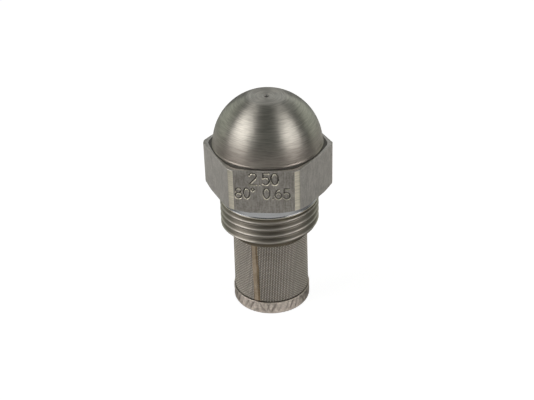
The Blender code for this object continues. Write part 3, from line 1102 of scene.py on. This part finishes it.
        # The bead under the collar takes the corners' light steel: a painted highlight along the bead.
        bead = np.linspace(self.collar_bead_bend, -self.collar_bead_bend, 6)
        skin.sweep(
            self.collar_radius - CREASE + self.collar_bead * np.cos(bead),
            collar_foot + self.collar_bead * np.sin(bead),
            BodyZone.CORNER_AND_HIGHLIGHT.slot,
        )
        top, bottom = self.thread_top + 2.5 * CREASE, self.low.z + 0.25 * CREASE
        height = np.linspace(top, bottom, self.thread_rows).reshape(-1, 1)
        turns = (height - self.first_crest) / self.thread_pitch - skin.angles / math.tau
        rise = thread_wave(turns, crest_share=0.1, root_share=0.2)
        full = np.clip((self.thread_top - 5 * CREASE - height) / self.runout, 0, 1)
        reach = root + self.thread_depth * rise * full
        chamfer = self.thread_crest - self.end_chamfer + (height - self.low.z) * math.tan(self.end_slope)
        skin.sweep(smooth_minimum(reach, chamfer, 2 * CREASE), height, thread)
        mouth = self.strainer_bore + self.mouth_chamfer
        skin.sweep(np.linspace(root - 5 * CREASE, mouth + CREASE, 5), self.low.z, thread)

    def add_inside(self, skin: Skin) -> None:
        """Adds the bores from the mouth up to the orifice, with their inner threads.

        Args:
            skin: The body's skin.
        """
        bore = BodyZone.BORE.slot
        mouth = self.low.z + self.mouth_chamfer
        lock_mouth = self.strainer_bore_top + 2.5 * CREASE
        skin.sweep(self.strainer_bore + self.mouth_chamfer, self.low.z + CREASE, bore)
        strainer_rows = np.linspace(mouth, self.strainer_bore_top, self.strainer_bore_rows)
        self.add_inner_thread(skin, self.strainer_bore, self.strainer_pitch, strainer_rows)
        lock_rows = np.linspace(lock_mouth, self.lock_bore_top, self.lock_bore_rows)
        self.add_inner_thread(skin, self.lock_bore, self.lock_pitch, lock_rows)
        chamber_top = self.high.z - self.orifice_flare - self.orifice_length
        seat_top = chamber_top - self.chamber_depth
        seat_bottom = seat_top - (self.stem_bore - self.chamber_radius)
        outline = (
            (self.stem_bore, self.lock_bore_top + CREASE),
            (self.stem_bore, (self.lock_bore_top + seat_bottom) / 2),
            (self.stem_bore, seat_bottom),
            (self.chamber_radius, seat_top),
            (self.orifice_radius, chamber_top),
        )
        for reach, height in outline:
            skin.sweep(reach, height, bore)

    def add_inner_thread(self, skin: Skin, radius: float, pitch: float, heights: np.ndarray) -> None:
        """Adds a threaded bore, from its mouth upwards.

        Args:
            skin: The body's skin.
            radius: Radius of the thread's inner crests.
            pitch: The thread's pitch.
            heights: Heights of its rings, from the lowest up.
        """
        height = heights.reshape(-1, 1)
        turns = (height - heights[0]) / pitch - skin.angles / math.tau + 0.5
        rise = thread_wave(turns, crest_share=0.12, root_share=0.25)
        fade = np.clip((heights[-1] - height) / pitch, 0, 1)
        skin.sweep(radius + self.inner_thread_depth * rise * fade, height, BodyZone.BORE.slot)

    def build(self) -> bpy.types.Object:
        """Makes the body in place of the frame's plain one.

        Returns:
            The body.
        """
        skin = Skin(self.columns())
        self.add_top(skin)
        self.add_hexagon(skin)
        self.add_shank(skin)
        self.add_inside(skin)
        body = skin.build("body_of_nozzle", closed=True)
        BodyZone.dress(body)
        stand_in(body, "nozzle", "nozzle_body")
        return body


# ----------------------------------------------------------------------------------------------------------
# Strainer
# ----------------------------------------------------------------------------------------------------------


@dataclass
class Screen:
    """The sleeve of plain-woven wire, with its lap seam."""

    wires_round: int = 144
    wires_up: int = 55
    wire_radius: float = 0.06 * MM
    sides: int = 6
    top_radius: float = 5.36 * MM
    bottom_radius: float = 5.45 * MM
    thickness: float = 0.2 * MM
    tuck: float = 0.1 * MM
    cap_top: float = 2.1 * MM
    seam_angle: float = math.radians(-20)
    seam_lean: float = math.radians(2.4)
    seam_half: float = 0.32 * MM
    seam_depth: float = 0.12 * MM
    seam_gap: float = 0.02 * MM
    seam_wander: float = 0.015 * MM
    seam_rows: int = 90
    seam_sides: int = 20
    shadow_half: float = 0.15 * MM
    shadow_depth: float = 0.05 * MM
    low: Vector = field(default_factory=lambda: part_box("strainer_mesh")[0])
    high: Vector = field(default_factory=lambda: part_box("strainer_mesh")[1])

    def middle(self, height: np.ndarray) -> np.ndarray:
        """Gives the radius of the cloth's middle: a slight taper, drawn in inside the cap.

        Args:
            height: The heights that it is wanted at.

        Returns:
            The radius at each height.
        """
        tuck_top = self.cap_top + self.tuck
        share = np.clip((height - tuck_top) / (self.high.z - tuck_top), 0, 1)
        outer = self.bottom_radius + (self.top_radius - self.bottom_radius) * share
        drawn_in = self.tuck * np.clip((tuck_top - height) / self.tuck, 0, 1)
        return outer - drawn_in - self.thickness / 2

    def ring_heights(self) -> np.ndarray:
        """Gives the heights of the wires that run round the sleeve."""
        margin = 2 * self.wire_radius
        return np.linspace(self.low.z + margin, self.high.z - margin, self.wires_up)

    def wire_section(self, slope: np.ndarray) -> tuple[np.ndarray, np.ndarray, np.ndarray]:
        """Gives the round section of a woven wire, square to its run.

        Args:
            slope: The angle at which the wire climbs outward, at each place along it.

        Returns:
            How far the section's points are outward, along the wire's run and across it.
        """
        turn = np.arange(self.sides) * math.tau / self.sides
        outward = self.wire_radius * np.cos(turn) * np.cos(slope)[..., None]
        along = -self.wire_radius * np.cos(turn) * np.sin(slope)[..., None]
        return outward, along, self.wire_radius * np.sin(turn)

    def make_rings(self) -> bpy.types.Object:
        """Makes the wires that run round the sleeve.

        Returns:
            The wires, in one object.
        """
        heights = self.ring_heights()[:, None]
        angles = np.arange(2 * self.wires_round) * math.tau / (2 * self.wires_round)
        waves = self.wires_round / 2
        side = np.where(np.arange(self.wires_up) % 2, -1.0, 1.0)[:, None]
        middle = self.middle(heights)
        reach = middle + self.wire_radius * side * np.cos(waves * angles)
        slope = np.arctan(-self.wire_radius * side * waves * np.sin(waves * angles) / middle)
        outward, along, upward = self.wire_section(slope)
        place = angles[None, :, None] + along / reach[..., None]
        rings = around(reach[..., None] + outward, place, heights[..., None] + upward)
        return tubes("screen_wires_round", rings[:, :, ::-1], looped=True)

    def make_uprights(self) -> bpy.types.Object:
        """Makes the wires that run up the sleeve.

        Returns:
            The wires, in one object.
        """
        rings = self.ring_heights()
        spacing = rings[1] - rings[0]
        steps = np.arange(-1, 2 * self.wires_up) / 2
        heights = np.clip(rings[0] + steps * spacing, self.low.z, self.high.z)[None, :]
        angles = (np.arange(self.wires_round) * math.tau / self.wires_round)[:, None]
        side = np.where(np.arange(self.wires_round) % 2, 1.0, -1.0)[:, None]
        reach = self.middle(heights) + self.wire_radius * side * np.cos(math.pi * steps)
        slope = np.arctan(-self.wire_radius * side * math.pi / spacing * np.sin(math.pi * steps))
        outward, upward, aside = self.wire_section(slope)
        place = angles[..., None] + aside / reach[..., None]
        uprights = around(reach[..., None] + outward, place, heights[..., None] + upward)
        return tubes("screen_wires_up", uprights, looped=False)

    def make_seam(self, name: str, half: float, depth: float, aside: float) -> bpy.types.Object:
        """Makes a strip over the sleeve's lap, bent to the sleeve and slightly uneven.

        Args:
            name: The strip's name.
            half: Half of its width.
            depth: How far it stands out.
            aside: How far its middle is from the seam's middle.

        Returns:
            The strip.
        """
        low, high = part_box("lap_seam")
        heights = np.linspace(low.z, high.z, self.seam_rows)[:, None]
        turn = np.arange(self.seam_sides) * math.tau / self.seam_sides
        across = half * np.sign(np.cos(turn)) * np.abs(np.cos(turn)) ** 0.6
        outward = 0.5 * depth * np.sign(np.sin(turn)) * np.abs(np.sin(turn)) ** 0.7
        wander = np.sin(heights / (0.9 * MM)) + np.sin(heights / (0.31 * MM) + 1.3)
        wander *= self.seam_wander
        middle = self.middle(heights) + self.thickness / 2 + self.seam_gap + depth / 2
        reach = middle + outward * (1 + 0.15 * np.sin(heights / (0.5 * MM) + 2 * across / half))
        lean = self.seam_lean * (0.35 - (heights - low.z) / (high.z - low.z))
        angle = self.seam_angle + lean + (aside + across * (1 + wander / half)) / middle
        return tubes(name, around(reach, angle, heights)[None], looped=False)

    def build(self) -> list[bpy.types.Object]:
        """Makes the wires and the seam in place of the frame's plain sleeve and strip.

        Returns:
            The wires and the seam's strips.
        """
        wires = {self.make_rings(): ROUND_STEEL, self.make_uprights(): UPRIGHT_STEEL}
        for wire, finish in wires.items():
            wire.data.materials.append(finish.material())
            stand_in(wire, "strainer", "strainer_mesh")
        # The second strip, beside the lap, is a painted shadow in the cleft at the lap's edge.
        beside = self.seam_half + 0.8 * self.shadow_half
        strips = {
            self.make_seam("screen_lap_seam", self.seam_half, self.seam_depth, 0.0): SEAM_BRAZE,
            self.make_seam("screen_lap_edge", self.shadow_half, self.shadow_depth, beside): SEAM_PAINTED_SHADOW,
        }
        for strip, finish in strips.items():
            strip.data.materials.append(finish.material())
            stand_in(strip, "strainer", "lap_seam")
        return [*wires, *strips]


@dataclass
class Ferrule:
    """The strainer's brass collar: thread, flange, skirt and spigot."""

    thread_crest: float = 4.76 * MM
    pitch: float = INCH / 32
    thread_depth: float = 0.4 * MM
    flange_top: float = 12.95 * MM
    flange_thickness: float = 0.3 * MM
    skirt_bottom: float = 11.8 * MM
    skirt_inner: float = 5.41 * MM
    spigot: float = 5.11 * MM
    socket: float = 4.46 * MM
    socket_depth: float = 1.3 * MM
    bore: float = 2.8 * MM
    edge: float = 0.05 * MM
    columns: int = 144
    thread_rows: int = 80
    runout: float = 0.3 * MM
    lead_slope: float = 1.2
    low: Vector = field(default_factory=lambda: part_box("strainer_ferrule")[0])
    high: Vector = field(default_factory=lambda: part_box("strainer_ferrule")[1])

    def build(self) -> bpy.types.Object:
        """Makes the ferrule in place of the frame's plain one.

        Returns:
            The ferrule.
        """
        skin = Skin(np.arange(self.columns) * math.tau / self.columns)
        root = self.thread_crest - self.thread_depth
        edge = self.edge
        skin.sweep(np.array([self.bore + edge, root - edge]), self.high.z)
        height = np.linspace(self.high.z - edge, self.flange_top + edge, self.thread_rows).reshape(-1, 1)
        turns = (height - self.flange_top) / self.pitch - skin.angles / math.tau
        rise = thread_wave(turns, crest_share=0.12, root_share=0.2)
        fade = np.clip((height - self.flange_top - 5 * CREASE) / self.runout, 0, 1)
        reach = root + self.thread_depth * rise * fade
        lead = root + (self.high.z - height) * self.lead_slope
        skin.sweep(smooth_minimum(reach, lead, 2 * CREASE), height)
        flange = self.high.x
        roof = self.flange_top - self.flange_thickness
        outline = [
            (root + edge, self.flange_top),
            (flange - edge, self.flange_top),
            (flange, self.flange_top - edge),
            (flange, (roof + self.skirt_bottom) / 2),
            (flange, self.skirt_bottom + edge),
            (flange - edge, self.skirt_bottom),
            (self.skirt_inner + CREASE, self.skirt_bottom),
            (self.skirt_inner, self.skirt_bottom + CREASE),
            (self.skirt_inner, roof),
            (self.spigot, roof),
            (self.spigot, self.low.z + edge),
            (self.spigot - edge, self.low.z),
            (self.socket + edge, self.low.z),
            (self.socket, self.low.z + edge),
            (self.socket, self.low.z + self.socket_depth),
            (self.bore + edge, self.low.z + self.socket_depth),
            (self.bore, self.low.z + self.socket_depth + edge),
            (self.bore, self.high.z - edge),
        ]
        for reach, height in outline:
            skin.sweep(reach, height)
        ferrule = skin.build("ferrule_of_strainer", closed=True)
        mark_sharp(ferrule)
        # The ferrule takes the brass painted dark: painted shadow under the body.
        ferrule.data.materials.append(PAINTED_SHADOW_BRASS.material())
        stand_in(ferrule, "strainer", "strainer_ferrule")
        return ferrule


class CapZone(Zone):
    """The cap's zones."""

    WALL = CAP_PLATE
    RIM = CAP_RIM


@dataclass
class EndCap:
    """The pressed cup at the foot, with the crossing flutes of the crimping rolls round its rim."""

    flutes: int = 40
    crossing_flutes: int = 31
    columns_per_flute: int = 8
    flute_depth: float = 0.13 * MM
    flute_start: float = 0.35 * MM
    flute_rise: float = 0.25 * MM
    flute_end: float = 0.2 * MM
    slant: float = 0.45
    rounding: float = 0.1 * MM
    foot_height: float = 0.45 * MM
    foot_inset: float = 0.35 * MM
    base: float = 0.8 * MM
    rim_inner: float = 5.4 * MM
    centre: float = 0.4 * MM
    edge: float = 0.05 * MM
    wall_rows: int = 18
    low: Vector = field(default_factory=lambda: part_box("end_cap")[0])
    high: Vector = field(default_factory=lambda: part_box("end_cap")[1])

    def build(self) -> bpy.types.Object:
        """Makes the cap in place of the frame's plain one.

        Returns:
            The cap.
        """
        columns = self.columns_per_flute * self.flutes
        skin = Skin(np.arange(columns) * math.tau / columns)
        self.add_inside(skin)
        self.add_wall(skin)
        cap = skin.build("cap_of_strainer", closed=False)
        CapZone.dress(cap)
        stand_in(cap, "strainer", "end_cap")
        return cap

    def add_inside(self, skin: Skin) -> None:
        """Adds the cup's inner side, from the axis outward and up.

        Args:
            skin: The cap's skin.
        """
        inside = (
            (self.centre, self.base),
            (self.rim_inner - self.edge, self.base),
            (self.rim_inner, self.base + self.edge),
            (self.rim_inner, self.high.z - self.edge),
        )
        for reach, height in inside:
            skin.sweep(reach, height, CapZone.WALL.slot)

    def add_wall(self, skin: Skin) -> None:
        """Adds the cup's rim, its fluted wall, its foot and its underside.

        Args:
            skin: The cap's skin.
        """
        radius, top = self.high.x, self.high.z
        skin.sweep(self.rim_inner + CREASE, top - 0.5 * CREASE, CapZone.RIM.slot)
        bend = np.radians(np.linspace(90, 5, 6))
        skin.sweep(
            radius - self.rounding + self.rounding * np.cos(bend),
            top - self.rounding + self.rounding * np.sin(bend),
            CapZone.RIM.slot,
        )
        wall = np.linspace(top - 1.3 * self.rounding, self.foot_height + self.rounding, self.wall_rows)
        foot = radius - self.foot_inset
        curve = np.linspace(0, math.pi / 2, 8)
        reach = np.concatenate([np.full(len(wall), radius), foot + self.foot_inset * np.cos(curve)])
        height = np.concatenate([wall, self.foot_height * (1 - np.sin(curve))])[:, None]
        skin.sweep(reach[:, None] - self.press(skin.angles, height), height, CapZone.WALL.slot)
        skin.sweep(np.linspace(foot - self.rounding, self.centre, 6), self.low.z, CapZone.WALL.slot)

    def press(self, angles: np.ndarray, height: np.ndarray) -> np.ndarray:
        """Finds how far the crimping rolls pressed the wall in, in flutes that cross and fade at their ends.

        Args:
            angles: The angles about Z.
            height: The heights.

        Returns:
            The depth at each height and angle.
        """
        climb = self.slant * (height - self.foot_height) / MM
        uneven = 0.12 * np.sin(7 * angles + 1.0) + 0.08 * np.sin(23 * angles)
        wave = ((angles * self.flutes / math.tau - climb + uneven) % 1.0) ** 1.6
        main = (0.5 - 0.5 * np.cos(math.tau * wave)) ** 1.5 * (0.75 + 0.25 * np.sin(11 * angles + 0.5))
        back = angles * self.crossing_flutes / math.tau + climb + 2 * uneven
        crossing = (0.5 - 0.5 * np.cos(math.tau * back)) ** 2.5 * (0.6 + 0.4 * np.sin(5 * angles + 2.0))
        lower = np.clip((height - self.flute_start) / self.flute_rise, 0, 1)
        upper = np.clip((self.high.z + CREASE - height) / self.flute_end, 0, 1)
        return self.flute_depth * np.maximum(main, 0.8 * crossing) * lower * upper


def mark_sharp(piece: bpy.types.Object, degrees: float = 40.0) -> None:
    """Keeps the edges sharp where a piece's faces meet more steeply than that."""
    piece.data.set_sharp_from_angle(angle=math.radians(degrees))


# ----------------------------------------------------------------------------------------------------------
# Studio
# ----------------------------------------------------------------------------------------------------------


@dataclass(frozen=True)
class Softbox:
    """A flat light that faces the nozzle.

    Attributes:
        name: The light's name.
        azimuth: Degrees from -Y towards +X.
        elevation: Degrees above the floor.
        distance: Distance from the nozzle.
        width: Width of its face.
        height: Height of its face.
        radiance: Brightness of its face.
        colour: Colour of its light.
    """

    name: str
    azimuth: float
    elevation: float
    distance: float
    width: float
    height: float
    radiance: float
    colour: Colour = (1.0, 1.0, 1.0)

    def hang(self, target: Vector) -> None:
        """Makes the light.

        Args:
            target: The point that it faces.
        """
        lamp = bpy.data.lights.new(self.name, "AREA")
        lamp.shape = "RECTANGLE"
        lamp.size = self.width
        lamp.size_y = self.height
        lamp.energy = self.radiance * math.pi * self.width * self.height
        lamp.color = self.colour
        made = bpy.data.objects.new(self.name, lamp)
        bpy.context.scene.collection.objects.link(made)
        out = direction(self.azimuth, self.elevation)
        made.location = target + out * self.distance
        made.rotation_mode = "QUATERNION"
        made.rotation_quaternion = (-out).to_track_quat("-Z", "Y")


def direction(azimuth: float, elevation: float) -> Vector:
    """Gives the direction that lies at two angles.

    Args:
        azimuth: Degrees from -Y towards +X.
        elevation: Degrees above the floor.

    Returns:
        The direction, one unit long.
    """
    turn, rise = math.radians(azimuth), math.radians(elevation)
    return Vector((math.sin(turn) * math.cos(rise), -math.cos(turn) * math.cos(rise), math.sin(rise)))


def keep_from_metal(backdrop: bpy.types.Object) -> None:
    """Lets only the camera see a backdrop, so that the metal mirrors nothing of it.

    Args:
        backdrop: The floor or wall.
    """
    backdrop.visible_diffuse = False
    backdrop.visible_glossy = False
    backdrop.visible_shadow = False


def set_stage(backdrop: bpy.types.Object) -> None:
    """Lets a backdrop go down with the strainer."""
    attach(backdrop, "strainer")


@dataclass
class Studio:
    """The pale floor, the soft lights and the camera."""

    azimuth: float = 5.55
    elevation: float = 31.68
    distance: float = 156.96 * MM
    lens: float = 73.85
    sensor: float = 36.0
    lean: float = -1.758
    aim_height: float = 16.267 * MM
    aim_side: float = -0.338 * MM
    floor_size: float = 4.0
    floor_shades: tuple[float, float] = (0.95, 0.16)
    bright_floor: tuple[float, float] = (65 * MM, 145 * MM)
    bright_behind: float = 25 * MM
    dim_sides: tuple[float, float] = (0.76, 1.12)
    white_drop: float = 0.02 * MM
    white_glow: float = 0.92
    wall_radius: float = 1.9
    wall_low: float = -1.0
    wall_high: float = 3.0
    wall_sides: int = 64
    world_light: float = 0.14
    lights: tuple[Softbox, ...] = (
        Softbox("left_box", azimuth - 71, 36, 0.45, 0.34, 0.34, 3.1, (1.0, 0.98, 0.95)),
        Softbox("right_box", azimuth + 58, 33.5, 0.45, 0.28, 0.29, 3.0, (1.0, 0.98, 0.95)),
        Softbox("back_box", 180, 34, 0.6, 0.40, 0.30, 0.66, (0.97, 0.99, 1.0)),
        Softbox("left_fill", azimuth - 130, 8, 0.5, 0.50, 0.30, 0.64, (0.93, 1.0, 0.86)),
        Softbox("right_fill", azimuth + 130, 8, 0.5, 0.50, 0.30, 0.7, (0.93, 1.0, 0.86)),
    )

    def build_floors(self) -> None:
        """Makes the white floor that is looked at and the grey one that the metal mirrors.

        Both go down with the strainer, which stands on them.
        """
        white = self.floor("white_floor", -self.white_drop, (0.3, 0.3), self.white_glow)
        keep_from_metal(white)
        grey = self.floor("grey_floor", 0.0, self.floor_shades, 0.0)
        grey.visible_camera = False
        grey.visible_shadow = False

    def build_wall(self) -> None:
        """Makes the round white wall that low views look at."""
        turn = np.arange(self.wall_sides) * math.tau / self.wall_sides
        reach = np.full(self.wall_sides, self.wall_radius)
        rings = [around(reach, turn, np.array(height)) for height in (self.wall_low, self.wall_high)]
        low = np.arange(self.wall_sides)
        beside = np.roll(low, -1)
        faces = np.stack([low, beside, self.wall_sides + beside, self.wall_sides + low], axis=-1)
        wall = mesh_object("white_wall", np.concatenate(rings), faces.tolist())
        wiring = Wiring("white_wall")
        wiring.shader.inputs["Base Color"].default_value = opaque((0.0, 0.0, 0.0))
        wiring.glow(1.0)
        wall.data.materials.append(wiring.material)
        keep_from_metal(wall)
        set_stage(wall)

    def floor(self, name: str, height: float, shades: tuple[float, float], glow: float) -> bpy.types.Object:
        """Makes a floor.

        Args:
            name: The floor's name.
            height: Its height.
            shades: How pale it is painted near the nozzle and far from it: a painted pool of light, where the
                two differ.
            glow: How much light it gives by itself.

        Returns:
            The floor, which rides on the strainer.
        """
        half = self.floor_size / 2
        outline = [(x, y, height) for x, y in ((-half, -half), (half, -half), (half, half), (-half, half))]
        made = mesh_object(name, np.array(outline), [(0, 1, 2, 3)])
        wiring = Wiring(name)
        # Painted pool of light on the floor that the metal mirrors: pale near a point just behind the nozzle,
        # darker farther out and towards the sides.
        moved = wiring.node("Mapping", Vector=wiring.place(), Location=(0.0, -self.bright_behind, 0.0))
        away = wiring.node("VectorMath", Vector=moved.outputs["Vector"])
        away.operation = "LENGTH"
        sides = wiring.node("SeparateXYZ", Vector=wiring.place())
        sides = wiring.sum_of(Sum.DIVIDE, wiring.sum_of(Sum.ABSOLUTE, sides.outputs["X"]), wiring.reach())
        share = wiring.between(away.outputs["Value"], *self.bright_floor)
        share = wiring.sum_of(Sum.MAXIMUM, share, wiring.between(sides, *self.dim_sides))
        near, far = ((shade, shade, shade) for shade in shades)
        wiring.put(wiring.shader.inputs["Base Color"], wiring.blend(share, near, far))
        wiring.shader.inputs["Roughness"].default_value = 0.9
        wiring.glow(glow)
        made.data.materials.append(wiring.material)
        set_stage(made)
        return made

    def build_world(self) -> None:
        """Makes the dim grey surroundings."""
        world = bpy.data.worlds.new("studio")
        world.use_nodes = True
        backdrop = world.node_tree.nodes["Background"]
        backdrop.inputs["Color"].default_value = (0.95, 1.0, 0.93, 1)
        backdrop.inputs["Strength"].default_value = self.world_light
        bpy.context.scene.world = world

    def build_camera(self) -> bpy.types.Object:
        """Makes the camera.

        Returns:
            The camera.
        """
        back = direction(self.azimuth, self.elevation)
        right = Vector((math.cos(math.radians(self.azimuth)), math.sin(math.radians(self.azimuth)), 0))
        aim = right * self.aim_side + Vector((0, 0, self.aim_height))
        data = bpy.data.cameras.new("camera")
        data.lens = self.lens
        data.sensor_width = self.sensor
        data.clip_start = 0.01
        camera = bpy.data.objects.new("camera", data)
        bpy.context.scene.collection.objects.link(camera)
        camera.location = aim + back * self.distance
        camera.rotation_mode = "QUATERNION"
        lean = Quaternion((0, 0, 1), math.radians(self.lean))
        camera.rotation_quaternion = (-back).to_track_quat("-Z", "Y") @ lean
        return camera

    def build(self) -> None:
        """Makes the floor, the surroundings, the lights and the camera."""
        self.build_floors()
        self.build_wall()
        self.build_world()
        target = Vector((0, 0, self.aim_height))
        for light in self.lights:
            light.hang(target)
        bpy.context.scene.camera = self.build_camera()
        bpy.context.scene.view_settings.view_transform = "Standard"


# ----------------------------------------------------------------------------------------------------------
# Inner pieces, as the frame has them
# ----------------------------------------------------------------------------------------------------------


def dress_inner_pieces(nodes: dict[str, bpy.types.Object]) -> None:
    """Gives the frame's own inner pieces their finishes.

    Args:
        nodes: The frame's pieces by name.
    """
    finishes = {
        "distributor": STEM_STEEL,
        "lock_screw": TURNED_BRASS,
        # The core and the plug take the near-black brass: painted shade behind the wire cloth.
        "strainer_core": PAINTED_SHADE_BRASS,
        "cap_plug": PAINTED_SHADE_BRASS,
    }
    for name, finish in finishes.items():
        node = nodes[name]
        node.data.materials.clear()
        node.data.materials.append(finish.material())
        LOG.info("%s dressed", name)


def report(pieces: Iterable[bpy.types.Object]) -> None:
    """Logs each piece's name and number of faces."""
    for piece in pieces:
        LOG.info("%s: %d faces", piece.name, len(piece.data.polygons))


def main() -> None:
    """Builds every piece, the studio and the camera, and notes the sizes."""
    logging.basicConfig(level=logging.INFO, format="%(message)s")
    for start_object in list(bpy.data.objects):
        bpy.data.objects.remove(start_object)
    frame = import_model()
    report([NozzleBody().build()])
    report(Screen().build())
    report([Ferrule().build()])
    report([EndCap().build()])
    dress_inner_pieces(frame["nodes"])
    Studio().build()
    bpy.context.view_layer.update()
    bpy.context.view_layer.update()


if __name__ == "__main__":
    main()
